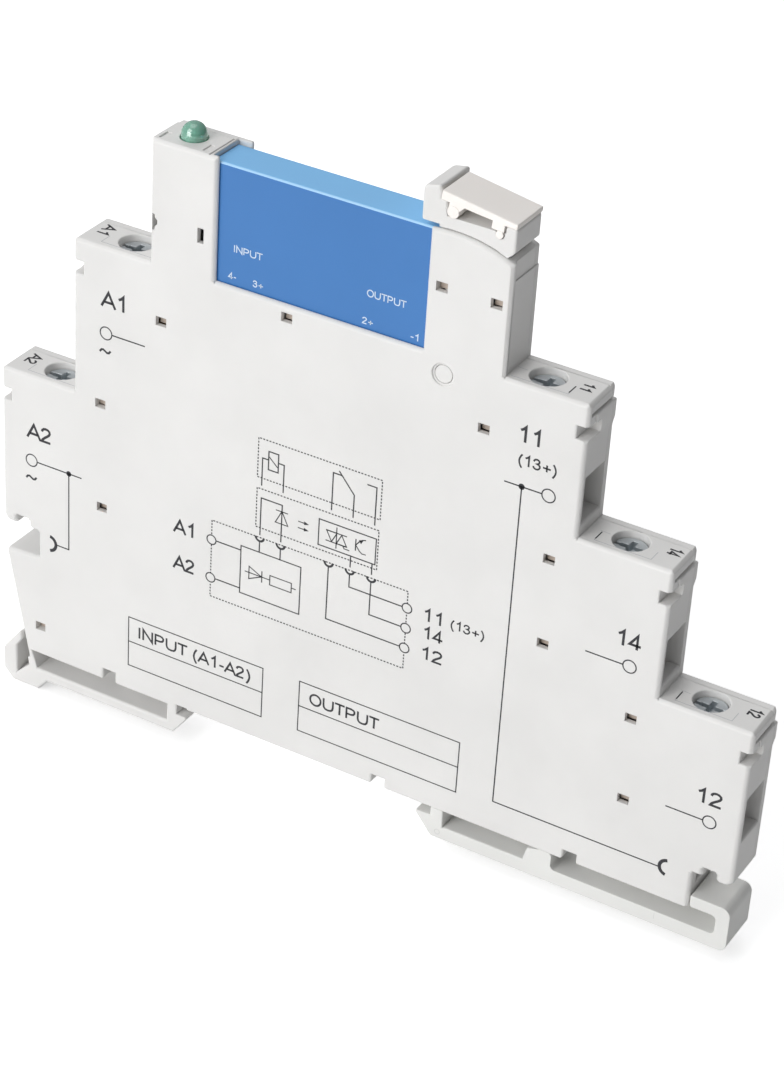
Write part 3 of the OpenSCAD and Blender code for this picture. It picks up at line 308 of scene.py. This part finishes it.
def rounding(e, width, lengthwise):
    """How far an edge of the mesh is rounded, in millimetres; 0 where it stays as it is."""
    if len(e.link_faces) != 2 or e.calc_face_angle_signed() < math.radians(OUTER_EDGE):
        return 0
    a, b = (v.co / MM for v in e.verts)
    length = (a - b).length
    if length < OPENING_EDGE and on_plane(a, b, FACE_Y) and (in_opening(a) or in_opening(b)):
        return 0
    if lengthwise and abs(a.x - b.x) < ALONG_X * length:
        return 0
    beside = [other for v in e.verts for other in v.link_edges if other is not e]
    room = min(other.calc_length() for other in beside) / MM
    own = min(width, room / NEXT_ROOM, near(e) / NEAR_ROOM, length)
    if on_plane(a, b, JOINT_Y):
        own = min(own, JOINT_ROUND)
    if curved(e):
        own = min(own, CURVE_ROUND)
    return own if own > LEAST_ROUND else 0


def level(mesh):
    """Keeps large flat faces flat in their shading, as their soft corners leave streaks in it."""
    normals = [Vector(c.vector) for c in mesh.corner_normals]
    for face in mesh.polygons:
        flat = max(abs(c) for c in face.normal) > FLAT_SHARE
        if abs(face.normal.y) > FLAT_SHARE or (flat and face.area > FLAT_AREA):
            for i in face.loop_indices:
                normals[i] = face.normal.copy()
    mesh.normals_split_custom_set(normals)


def softened(node, width, body, lengthwise=False):
    """Shows a CAD node by a copy with its outer edges rounded, less where there is less room."""
    bm = bmesh.new()
    bm.from_mesh(nodes[node].data)
    bmesh.ops.remove_doubles(bm, verts=bm.verts, dist=SAME_CORNER)
    bmesh.ops.dissolve_limit(bm, angle_limit=math.radians(SAME_FACE), verts=bm.verts,
                             edges=bm.edges, use_dissolve_boundaries=False)
    share = bm.edges.layers.float.new("bevel_weight_edge")
    for e in bm.edges:
        own = rounding(e, width, lengthwise)
        if own:
            e[share] = own / width
    name = node + "_soft"
    mesh = bpy.data.meshes.new(name)
    bm.to_mesh(mesh)
    bm.free()
    o = new_object(name, mesh, NODE_LOOKS[node])
    soft = o.modifiers.new("soft", "BEVEL")
    soft.limit_method = "WEIGHT"
    soft.offset_type = "OFFSET"
    soft.width = width * MM
    soft.segments = ROUND_STEPS
    soft.use_clamp_overlap = False
    baked(o)
    o.data.shade_smooth()
    o.data.set_sharp_from_angle(angle=math.radians(SHARP_EDGE))
    even = o.modifiers.new("even", "WEIGHTED_NORMAL")
    even.mode = "FACE_AREA"
    even.weight = NORMAL_WEIGHT
    even.keep_sharp = True
    baked(o)
    level(o.data)
    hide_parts(node)
    finish_piece(o, body)


# Each node with the width of its rounding, its body and its slot.
REPLACED = [
    ("front_shell", 0.30, "housing", "case_plastic"),
    ("rear_cover", 0.30, "housing", "case_plastic"),
    ("ejector_lever", 0.35, "ejector", "case_plastic"),
    ("marker_plate", 0.14, "ejector", "marker_plastic"),
    ("rail_latch", 0.30, "rail_latch", "clip_plastic"),
    ("relay_case", 0.26, "relay", "relay_blue"),
]
for node, width, body, slot in REPLACED:
    softened(node, width, body, lengthwise=node == "relay_case")
for t in TERMINALS:
    softened("screw_" + t, 0.06, "screw_" + t)
    softened("clamp_" + t, 0.05, "clamp_" + t)

# The relay's top is a lighter blue, a painted reflection, and the edge towards it a paler blue
# still, a painted highlight; each is told by how far its normals point up.
TOP_UP = 0.9
EDGE_UP = 0.12
relay_mesh = bpy.data.objects["relay_case_soft"].data
relay_mesh.materials.append(painted_top_reflection)
relay_mesh.materials.append(painted_edge_highlight)
for polygon in relay_mesh.polygons:
    if polygon.normal.z > EDGE_UP:
        polygon.material_index = 1 if polygon.normal.z > TOP_UP else 2


# ---------------------------------------------------------------- letters and thin marks

# Letters as centre lines, on a grid where a capital is 1 high: advance, then the strokes.
ROUND_2 = [(0.07, 0.72), (0.10, 0.84), (0.19, 0.93), (0.33, 0.965), (0.47, 0.93), (0.56, 0.84),
           (0.58, 0.72), (0.53, 0.60), (0.42, 0.48), (0.27, 0.35), (0.13, 0.20), (0.06, 0.05),
           (0.62, 0.05)]
ROUND_3 = [(0.08, 0.72), (0.13, 0.86), (0.22, 0.94), (0.33, 0.965), (0.46, 0.93), (0.54, 0.84),
           (0.54, 0.72), (0.47, 0.60), (0.36, 0.545), (0.50, 0.50), (0.59, 0.40), (0.60, 0.27),
           (0.53, 0.13), (0.42, 0.05), (0.31, 0.03), (0.19, 0.06), (0.10, 0.14), (0.06, 0.27)]
BRACKET = [(0.36, 1.0), (0.24, 0.80), (0.16, 0.58), (0.13, 0.36), (0.16, 0.14), (0.24, -0.08),
           (0.36, -0.28)]
ROUND_O = [(0.54 + 0.43 * math.cos(math.pi * i / 12), 0.5 + 0.475 * math.sin(math.pi * i / 12))
           for i in range(24)]
LETTERS = {
    "1": (0.776, [[(0.17, 0.73), (0.33, 0.83), (0.46, 0.985), (0.46, 0.0)]]),
    "2": (0.776, [ROUND_2]),
    "3": (0.776, [ROUND_3]),
    "4": (0.776, [[(0.47, 0.0), (0.47, 0.95), (0.05, 0.27), (0.68, 0.27)]]),
    "A": (0.93, [[(0.03, 0.0), (0.46, 0.96), (0.89, 0.0)], [(0.19, 0.32), (0.73, 0.32)]]),
    "+": (0.815, [[(0.08, 0.42), (0.72, 0.42)], [(0.40, 0.10), (0.40, 0.74)]]),
    "-": (0.465, [[(0.05, 0.38), (0.41, 0.38)]]),
    "(": (0.465, [BRACKET]),
    ")": (0.465, [[(0.46 - x, y) for x, y in BRACKET]]),
    "I": (0.388, [[(0.19, 0.0), (0.19, 1.0)]]),
    "N": (1.008, [[(0.12, 0.0), (0.12, 0.97), (0.87, 0.03), (0.87, 1.0)]]),
    "P": (0.93, [[(0.13, 0.0), (0.13, 0.95), (0.50, 0.95), (0.68, 0.90), (0.77, 0.80),
                  (0.77, 0.64), (0.68, 0.50), (0.50, 0.44), (0.13, 0.44)]]),
    "U": (1.008, [[(0.12, 1.0), (0.12, 0.40), (0.16, 0.20), (0.28, 0.07), (0.50, 0.03),
                   (0.72, 0.07), (0.84, 0.20), (0.88, 0.40), (0.88, 1.0)]]),
    "T": (0.853, [[(0.03, 0.95), (0.82, 0.95)], [(0.425, 0.95), (0.425, 0.0)]]),
    "O": (1.086, [ROUND_O + ROUND_O[:1]]),
    " ": (0.388, []),
}

# Widths of the printed lines, in millimetres, and of a letter's as a share of its height.
CUP_LINE = 0.42
SOCKET_LINE = 0.28
WAVE_LINE = 0.26
NUMBER_LINE = 0.25
LINE = 0.16
FRAME = 0.15
TABLE = 0.14
FINE = 0.13
HEADING_LINE = 0.125
PANEL_LINE = 0.08
TICK = 0.07
LETTER_SHARE = 0.14
# The dotted frames: a dash and the gap after it.
DASH = 0.25
GAP = 0.17
# A mitre reaches no further than half the width over LEAST_MITRE; a turn back has none.
LEAST_MITRE = 0.35
SHARP_BEND = 0.3
ROUND_SIDES = 44
DISC_SIDES = 24


class Print:
    """Thin raised marks on one flat face, of ink, of painted shade or small raised parts: lines,
    rings, discs and words, gathered in one mesh.
    """

    def __init__(self, place, lift=0.012, sink=0.01):
        self.bm = bmesh.new()
        self.place = place
        self.lift = lift
        self.sink = sink

    def prism(self, points):
        """A closed outline in the face's own U and V, in millimetres."""
        low = [self.bm.verts.new(self.place(u, v, -self.sink)) for u, v in points]
        high = [self.bm.verts.new(self.place(u, v, self.lift)) for u, v in points]
        n = len(points)
        self.bm.faces.new(high)
        self.bm.faces.new(list(reversed(low)))
        for i in range(n):
            j = (i + 1) % n
            self.bm.faces.new((low[i], low[j], high[j], high[i]))

    def path(self, points, w=LINE, closed=False):
        """A line of one width with mitred corners, as one piece."""
        p = [Vector(q) for q in points]
        n = len(p)
        rows = []
        for i in range(n):
            before = p[i] - p[i - 1] if (closed or i > 0) else None
            after = p[(i + 1) % n] - p[i] if (closed or i < n - 1) else None
            a = (before or after).normalized()
            b = (after or before).normalized()
            side_b = Vector((-b.y, b.x))
            side = Vector((-a.y, a.x)) + side_b
            if side.length < SHARP_BEND:
                side = side_b
            side.normalize()
            reach = side * ((w / 2) / max(LEAST_MITRE, side.dot(side_b)))
            l, r = p[i] + reach, p[i] - reach
            rows.append([self.bm.verts.new(self.place(q.x, q.y, h))
                         for q, h in ((l, self.lift), (r, self.lift),
                                      (r, -self.sink), (l, -self.sink))])
        for i in range(n if closed else n - 1):
            a, b = rows[i], rows[(i + 1) % n]
            for k in range(4):
                self.bm.faces.new((a[k], a[(k + 1) % 4], b[(k + 1) % 4], b[k]))
        if not closed:
            self.bm.faces.new(rows[0])
            self.bm.faces.new(list(reversed(rows[-1])))

    def paths(self, lines, w=LINE, closed=False):
        for points in lines:
            self.path(points, w, closed)

    def dotted(self, points, free=()):
        """A closed dotted line that leaves out what lies in the free rounds."""
        for a, b in zip(points, points[1:] + points[:1]):
            a, b = Vector(a), Vector(b)
            run = (b - a).length
            count = max(1, round(run / (DASH + GAP)))
            step = run / count
            d = (b - a).normalized()
            for i in range(count):
                s = a + d * (i * step)
                t = s + d * (step * DASH / (DASH + GAP))
                if all(((s + t) / 2 - Vector(c)).length > r for c, r in free):
                    self.path([s, t], FRAME)

    def ring(self, c, r, w, a0=0.0, a1=360.0):
        """An arc or, over 360 degrees, a whole ring."""
        whole = a1 - a0 >= 360
        count = max(6, round(ROUND_SIDES * (a1 - a0) / 360))
        turns = [math.radians(a0 + (a1 - a0) * i / count) for i in range(count + (not whole))]
        self.path([(c[0] + r * math.cos(a), c[1] + r * math.sin(a)) for a in turns], w, whole)

    def disc(self, c, r, n=DISC_SIDES):
        turns = [2 * math.pi * i / n for i in range(n)]
        self.prism([(c[0] + r * math.cos(a), c[1] + r * math.sin(a)) for a in turns])

    def words(self, text, start, height, width, turn=0.0, w=None):
        """Generic numbers or letters from the left end of their base line, as wide as given."""
        w = w or LETTER_SHARE * height
        pen = 0.0
        lines = []
        for letter in text:
            step, strokes = LETTERS[letter]
            lines += [[(pen + x, y) for x, y in s] for s in strokes]
            pen += step
        left_end = min(x for s in lines for x, _ in s)
        right_end = max(x for s in lines for x, _ in s)
        stretch = (width - w) / ((right_end - left_end) * height)
        cos, sin = math.cos(math.radians(turn)), math.sin(math.radians(turn))
        for s in lines:
            pts = []
            for x, y in s:
                u = w / 2 + (x - left_end) * height * stretch
                v = w / 2 + y * (height - w)
                pts.append((start[0] + u * cos - v * sin, start[1] + u * sin + v * cos))
            if pts[0] == pts[-1]:
                self.path(pts[:-1], w, closed=True)
            else:
                self.path(pts, w)

    def done(self, name, look, body):
        bmesh.ops.recalc_face_normals(self.bm, faces=self.bm.faces)
        mesh = bpy.data.meshes.new(name)
        self.bm.to_mesh(mesh)
        self.bm.free()
        finish_piece(new_object(name, mesh, look), body)


def on_face(y=FACE_Y):
    """A face that looks to the front: U is X and V is Z."""
    return lambda u, v, h: Vector((u * MM, (y - h) * MM, v * MM))


def on_top(z):
    """A face that looks up: U is X and V is Y."""
    return lambda u, v, h: Vector((u * MM, v * MM, (z + h) * MM))


def box(x0, x1, z0, z1):
    """The corners of a rectangle on the front face."""
    return [(x0, z0), (x1, z0), (x1, z1), (x0, z1)]


# The ends of the snap pegs, seen in the face's windows: plates in a tan darker than the housing's
# grey, painted shade of the windows' depth.
TIP_DEPTH = 0.95
TIP_PLAY = 0.02
tips = Print(on_face(FACE_Y + TIP_DEPTH), lift=0.02, sink=0.3)
for u, v in WINDOWS:
    tips.prism(box(u + TIP_PLAY, u + WINDOW_W - TIP_PLAY, v + TIP_PLAY, v + WINDOW_H - TIP_PLAY))
tips.done("snap_tips", tip_painted_shade, "housing")

# The round pins that hold the marker plate: place and radius.
PINS = [((15.04, 75.88), 0.7), ((20.58, 74.93), 0.45)]
pins = Print(on_face(), lift=0.05, sink=0.02)
for place, r in PINS:
    pins.disc(place, r, 36)
pins.done("plate_pins", marker, "ejector")

# Small mould marks on the latch, drawn in a slightly darker grey: painted shade of their shallow
# recesses.
mark = Print(on_face(LATCH_Y))
mark.ring((18.87, -3.25), 0.33, 0.1)
mark.path([(47.08, -3.3), (47.08, -2.4)], TICK)
mark.done("latch_marks", mould_mark_shade, "rail_latch")

# Terminal marks on the front face: rings, leads, dots, jumper cups and waves.
TERMINAL_RINGS = [(-28.35, 47.8), (-38.95, 27.25), (29.0, 46.4), (40.6, 28.83), (52.15, 12.65)]
LEADS = [
    [(-27.55, 47.8), (-23.0, 47.8)],
    [(-38.15, 27.25), (-31.7, 27.25)],
    [(-33.55, 27.2), (-33.55, 16.6), (-35.35, 16.6)],
    [(23.6, 46.4), (28.2, 46.4)],
    [(25.74, 46.3), (25.74, 4.2), (46.85, 4.2)],
    [(35.2, 28.83), (39.8, 28.83)],
    [(46.8, 12.65), (51.35, 12.65)],
]
DOTS = [((-33.55, 27.25), 0.36), ((25.73, 46.4), 0.38)]
CUPS = [((-36.45, 16.5), -82, 82), ((48.0, 4.4), 96, 258)]
WAVES = [(-28.45, 45.45), (-39.0, 24.85)]
WAVE = [(-0.75, -0.2), (-0.5, 0.12), (-0.25, 0.16), (0.25, -0.16), (0.5, -0.12), (0.75, 0.2)]
FACE_WORDS = [
    ("A1", (-29.15, 51.05), 2.25, 3.3),
    ("A2", (-39.7, 30.2), 2.25, 3.65),
    ("11", (24.9, 51.7), 2.2, 2.5),
    ("(13+)", (25.05, 48.95), 1.5, 4.65),
    ("14", (38.75, 31.05), 2.2, 3.05),
    ("12", (50.3, 14.75), 2.15, 3.1),
    ("INPUT (A1-A2)", (-23.3, 7.6), 1.8, 15.95),
    ("OUTPUT", (0.83, 7.72), 1.8, 9.6),
]
# Two ruled tables, with a plain heading each and no values: X range, Z range, middle line.
TABLES = [(-24.75, -5.65, 3.3, 10.28, 6.8), (-0.58, 20.92, 3.45, 10.48, 7.0)]

face = Print(on_face())
for place in TERMINAL_RINGS:
    face.ring(place, 0.8, FRAME)
face.paths(LEADS)
for place, r in DOTS:
    face.disc(place, r)
for place, a0, a1 in CUPS:
    face.ring(place, 1.0, CUP_LINE, a0, a1)
for u, v in WAVES:
    face.path([(u + x, v + z) for x, z in WAVE], WAVE_LINE)
for x0, x1, z0, z1, middle in TABLES:
    face.path(box(x0, x1, z0, z1), TABLE, closed=True)
    face.path([(x0, middle), (x1, middle)], TABLE)
for text, start, height, width in FACE_WORDS:
    face.words(text, start, height, width)
face.done("face_prints", ink, "housing")

# The circuit diagram: dotted frames, where the last one leaves out the round terminals.
FRAMES = [box(-7.42, 8.75, 36.07, 41.2), box(-7.4, 8.7, 29.42, 34.63)]
SOCKET_FRAME = box(-13.32, 12.9, 17.65, 28.1)
ENDS = [((-13.33, 25.42), 0.62), ((-13.33, 20.2), 0.62), ((12.9, 25.86), 0.62),
        ((12.9, 23.16), 0.62), ((12.9, 20.46), 0.62)]
WIRES = [
    [(-6.0, 38.72), (-6.82, 38.72), (-6.82, 35.06)],
    [(-4.7, 38.72), (-3.95, 38.72), (-3.95, 35.1)],
    [(2.46, 35.1), (2.46, 40.03), (3.6, 40.03)],
    [(3.2, 40.5), (5.28, 38.06), (5.28, 35.1)],
    [(6.86, 40.03), (8.1, 40.03), (8.1, 35.1)],
    [(-6.8, 28.42), (-6.8, 33.43), (-3.98, 33.43), (-3.98, 28.48)],
    [(2.45, 27.45), (2.45, 20.46), (12.27, 20.46)],
    [(5.26, 27.45), (5.26, 25.86), (12.27, 25.86)],
    [(8.07, 27.45), (8.07, 23.16), (12.27, 23.16)],
    [(5.27, 30.0), (5.27, 28.5)],
    [(8.08, 30.0), (8.08, 28.55)],
    [(-12.7, 25.47), (-9.27, 25.47)],
    [(-12.7, 20.25), (-9.27, 20.25)],
    [(-6.8, 27.45), (-6.8, 26.1)],
    [(-3.98, 27.45), (-3.98, 26.1)],
]
# Fine open lines: coil and diode strokes, the switching element's bars, the transistor, and
# the input's leads.
FINE_LINES = [
    [(-5.95, 39.15), (-4.8, 38.1)],
    [(-4.8, 32.56), (-3.18, 32.56)],
    [(1.9, 32.35), (4.65, 32.35)],
    [(1.9, 30.97), (4.65, 30.97)],
    [(3.3, 33.1), (3.3, 30.3)],
    [(4.15, 31.0), (4.35, 30.65), (5.05, 30.65)],
    [(5.85, 31.72), (6.3, 32.3), (6.65, 32.6), (7.12, 32.76)],
    [(5.85, 31.7), (6.35, 31.05), (6.7, 30.82), (7.2, 30.85)],
    [(-8.65, 22.85), (-5.23, 22.85)],
    [(-2.3, 22.85), (-1.7, 22.85)],
]
# Fine closed outlines: the diodes, the two facing triangles and the resistor.
FINE_OUTLINES = [
    [(-3.98, 32.62), (-4.82, 30.92), (-3.14, 30.92)],
    [(1.98, 32.33), (3.35, 32.33), (2.68, 31.02)],
    [(3.32, 30.99), (4.66, 30.99), (3.97, 32.3)],
    [(-8.08, 23.7), (-8.08, 22.0), (-6.36, 22.85)],
    box(-5.23, -2.31, 22.2, 23.48),
]
COIL = box(-6.02, -4.72, 37.46, 39.84)
BLOCKS = [box(0.95, 8.44, 30.02, 33.43), box(-9.27, -1.15, 19.66, 26.1)]
LIGHT_ARROWS = (32.12, 31.28)
TRANSISTOR_HEAD = [(6.82, 32.62), (6.2, 32.5), (6.5, 32.05)]
SOCKETS = (-6.8, -3.97, 2.45, 5.26, 8.07)
PLAN_WORDS = [
    ("A1", (-18.7, 24.55), 2.05, 2.85),
    ("A2", (-18.65, 19.57), 2.05, 3.1),
    ("11", (15.1, 25.0), 1.85, 2.25),
    ("(13+)", (18.55, 25.25), 1.35, 4.3),
    ("14", (15.2, 22.65), 1.8, 2.6),
    ("12", (15.15, 19.85), 1.85, 2.75),
]

plan = Print(on_face())
for outline in FRAMES:
    plan.dotted(outline)
plan.dotted(SOCKET_FRAME, free=ENDS)
plan.paths(WIRES)
plan.paths(FINE_LINES, FINE)
plan.paths(FINE_OUTLINES, FINE, closed=True)
plan.path(COIL, closed=True)
plan.paths(BLOCKS, FRAME, closed=True)
plan.path([(5.83, 32.5), (5.83, 30.95)], FRAME)
plan.path([(-6.32, 22.1), (-6.32, 23.65)], TABLE)
for v in LIGHT_ARROWS:
    plan.path([(-1.8, v), (-0.9, v)], FINE)
    plan.prism([(-1.0, v + 0.24), (-1.0, v - 0.24), (-0.35, v)])
plan.prism(TRANSISTOR_HEAD)
for place, r in ENDS:
    plan.ring(place, r, FRAME)
for u in SOCKETS:
    plan.ring((u, 28.15), 0.55, SOCKET_LINE, 180, 360)
for text, start, height, width in PLAN_WORDS:
    plan.words(text, start, height, width)
plan.done("circuit_print", ink, "housing")

# Plain words and pin signs on the relay.
HEADINGS = [("INPUT", (-11.95, 62.8), 0.95, 3.75), ("OUTPUT", (5.0, 62.65), 0.95, 4.95)]
PIN_SIGNS = [("4-", (-12.6, 59.4), 0.9, 1.1), ("3+", (-9.4, 59.35), 0.9, 1.4),
             ("2+", (4.6, 59.25), 0.9, 1.4), ("-1", (10.6, 59.2), 0.9, 1.0)]
tag = Print(on_face(RELAY_Y))
for text, start, height, width in HEADINGS:
    tag.words(text, start, height, width, w=HEADING_LINE)
for text, start, height, width in PIN_SIGNS:
    tag.words(text, start, height, width)
tag.done("relay_print", pale_ink, "relay")

# Numbers on the step tops, read from the face's side: place, height and width.
NUMBERS = {"11": ((30.0, 1.15), 1.45, 1.6), "14": ((41.85, 1.4), 1.7, 1.6),
           "12": ((53.4, 1.4), 1.7, 1.6), "a1": ((-31.7, 1.95), 1.7, 2.4),
           "a2": ((-41.9, 1.6), 1.7, 2.4)}
# The panel line beside each screw: how far from its axis, and in which Y.
PANEL_X = 3.4
PANEL_Y = -2.15
MARK_Y = -1.85
for t in TERMINALS:
    x = SCREW_X[t]
    s = 1 if x > 0 else -1
    output, highest = s > 0, t == "11"
    place, height, width = NUMBERS[t]
    top = Print(on_top(TOPS[t]))
    top.words(t.upper(), place, height, width, turn=-90, w=NUMBER_LINE)
    if output:
        inner = x + 3.35 if highest else x - PANEL_X
        top.path([(inner, MARK_Y), (inner, -0.2)], FRAME)
    top.done("step_number_" + t, ink, "housing")
    # The panel lines are drawn in a light grey: painted shade of shallow grooves.
    panel = Print(on_top(TOPS[t]), lift=0.01)
    panel.path([(x - s * 3.7, 0.0), (x - s * 2.45, -0.1)], TICK)
    panel.path([(x - s * PANEL_X, PANEL_Y), (x + s * PANEL_X, PANEL_Y),
                (x + s * PANEL_X, -0.4)], PANEL_LINE)
    if output and not highest:
        panel.path([(x - PANEL_X, MARK_Y), (x - PANEL_X, PANEL_Y)], PANEL_LINE)
    panel.done("step_panel_" + t, groove_shade, "housing")


# ---------------------------------------------------------------- stage, light and camera

FLOOR_HALF = 3.0
FLOOR_DROP = 0.00002
FLOOR_GREY = 0.86
FLOOR_GLOW = 0.5  # only the camera sees it; the floor looks white and keeps the shadow
MIDDLE = (0.006, 0.0, 0.034)  # of the part, in metres; the lamps aim at it
# The room's light grows towards the upper left, from none to its full strength.
ROOM_TINT = (0.97, 0.98, 1.0, 1)
ROOM_LEAN = (-0.78, 0.0, 0.62)
LEAN_END = 0.9
ROOM_STRENGTH = 0.44
# The camera's place in millimetres, and its axes.
CAMERA_PLACE = (145.2, -254.55, 212.85)
CAMERA_RIGHT = (0.862754, 0.502483, 0.056274)
CAMERA_UP = (-0.307944, 0.433912, 0.846694)
CAMERA_FORWARD = (-0.401032, 0.747818, -0.529096)


def stage_floor():
    """A white floor just under the part's lowest point."""
    z = cad_box[0][2] - FLOOR_DROP
    s = FLOOR_HALF
    mesh = bpy.data.meshes.new("floor")
    mesh.from_pydata([(-s, -s, z), (s, -s, z), (s, s, z), (-s, s, z)], [], [(0, 1, 2, 3)])
    mat = bpy.data.materials.new("floor_white")
    mat.use_nodes = True
    tree = mat.node_tree
    n = tree.nodes
    bsdf = n["Principled BSDF"]
    bsdf.inputs["Base Color"].default_value = (FLOOR_GREY, FLOOR_GREY, FLOOR_GREY, 1)
    bsdf.inputs["Roughness"].default_value = 0.9
    bsdf.inputs["Specular IOR Level"].default_value = 0.1
    path = n.new("ShaderNodeLightPath")
    glow = n.new("ShaderNodeEmission")
    glow.inputs["Color"].default_value = (1, 1, 1, 1)
    glow.inputs["Strength"].default_value = FLOOR_GLOW
    none = n.new("ShaderNodeEmission")
    none.inputs["Strength"].default_value = 0.0
    pick = n.new("ShaderNodeMixShader")
    link(tree, path.outputs["Is Camera Ray"], pick.inputs["Fac"])
    link(tree, none.outputs["Emission"], pick.inputs[1])
    link(tree, glow.outputs["Emission"], pick.inputs[2])
    both = n.new("ShaderNodeAddShader")
    link(tree, bsdf.outputs["BSDF"], both.inputs[0])
    link(tree, pick.outputs["Shader"], both.inputs[1])
    link(tree, both.outputs["Shader"], n["Material Output"].inputs["Surface"])
    new_object("floor", mesh, mat)


def lamp(name, place, size, power, mirrored=True):
    """A soft rectangle of light, in metres and watts, aimed at the part."""
    data = bpy.data.lights.new(name, "AREA")
    data.shape = "RECTANGLE"
    data.size, data.size_y = size
    data.energy = power
    o = bpy.data.objects.new(name, data)
    bpy.context.scene.collection.objects.link(o)
    o.location = place
    o.visible_glossy = mirrored
    o.rotation_euler = (Vector(MIDDLE) - Vector(place)).to_track_quat("-Z", "Y").to_euler()


def room():
    """Soft light from all around; white to the camera and through the lamp's dome."""
    world = bpy.data.worlds.new("room")
    bpy.context.scene.world = world
    world.use_nodes = True
    tree = world.node_tree
    n = tree.nodes
    back = n["Background"]
    back.inputs["Color"].default_value = ROOM_TINT
    way = n.new("ShaderNodeTexCoord")
    lean = n.new("ShaderNodeVectorMath")
    lean.operation = "DOT_PRODUCT"
    lean.inputs[1].default_value = ROOM_LEAN
    link(tree, way.outputs["Generated"], lean.inputs[0])
    shade = n.new("ShaderNodeMapRange")
    shade.inputs["From Min"].default_value = -LEAN_END
    shade.inputs["From Max"].default_value = LEAN_END
    shade.inputs["To Min"].default_value = 0.0
    shade.inputs["To Max"].default_value = ROOM_STRENGTH
    link(tree, lean.outputs["Value"], shade.inputs["Value"])
    link(tree, shade.outputs["Result"], back.inputs["Strength"])
    white = n.new("ShaderNodeBackground")
    white.inputs["Color"].default_value = (1, 1, 1, 1)
    white.inputs["Strength"].default_value = 1.0
    path = n.new("ShaderNodeLightPath")
    most = n.new("ShaderNodeMath")
    most.operation = "MAXIMUM"
    link(tree, path.outputs["Is Camera Ray"], most.inputs[0])
    link(tree, path.outputs["Is Transmission Ray"], most.inputs[1])
    pick = n.new("ShaderNodeMixShader")
    link(tree, most.outputs["Value"], pick.inputs["Fac"])
    link(tree, back.outputs["Background"], pick.inputs[1])
    link(tree, white.outputs["Background"], pick.inputs[2])
    link(tree, pick.outputs["Shader"], n["World Output"].inputs["Surface"])


def photo_camera():
    """The photo's camera, solved from the part's corners."""
    data = bpy.data.cameras.new("camera")
    data.sensor_fit = "HORIZONTAL"
    data.sensor_width = 36.0
    data.lens = 138.65
    data.clip_start = 0.01
    data.clip_end = 20.0
    o = bpy.data.objects.new("camera", data)
    bpy.context.scene.collection.objects.link(o)
    axes = Matrix((CAMERA_RIGHT, CAMERA_UP, -Vector(CAMERA_FORWARD))).transposed()
    o.matrix_world = Matrix.Translation(Vector(CAMERA_PLACE) * MM) @ axes.to_4x4()
    bpy.context.scene.camera = o


stage_floor()
lamp("key", (-0.42, -1.05, 0.86), (0.8, 0.8), 5.1)
lamp("front", (-0.30, -1.10, 0.36), (0.8, 0.5), 4.3)
lamp("low", (-0.20, -0.95, 0.04), (0.9, 0.2), 1.9)
lamp("top", (-0.15, -0.05, 0.95), (0.7, 0.7), 1.4)
lamp("rim", (-0.354, 0.675, 0.51), (0.7, 0.5), 2.4, mirrored=False)
room()
photo_camera()
bpy.context.scene.view_settings.view_transform = "Standard"
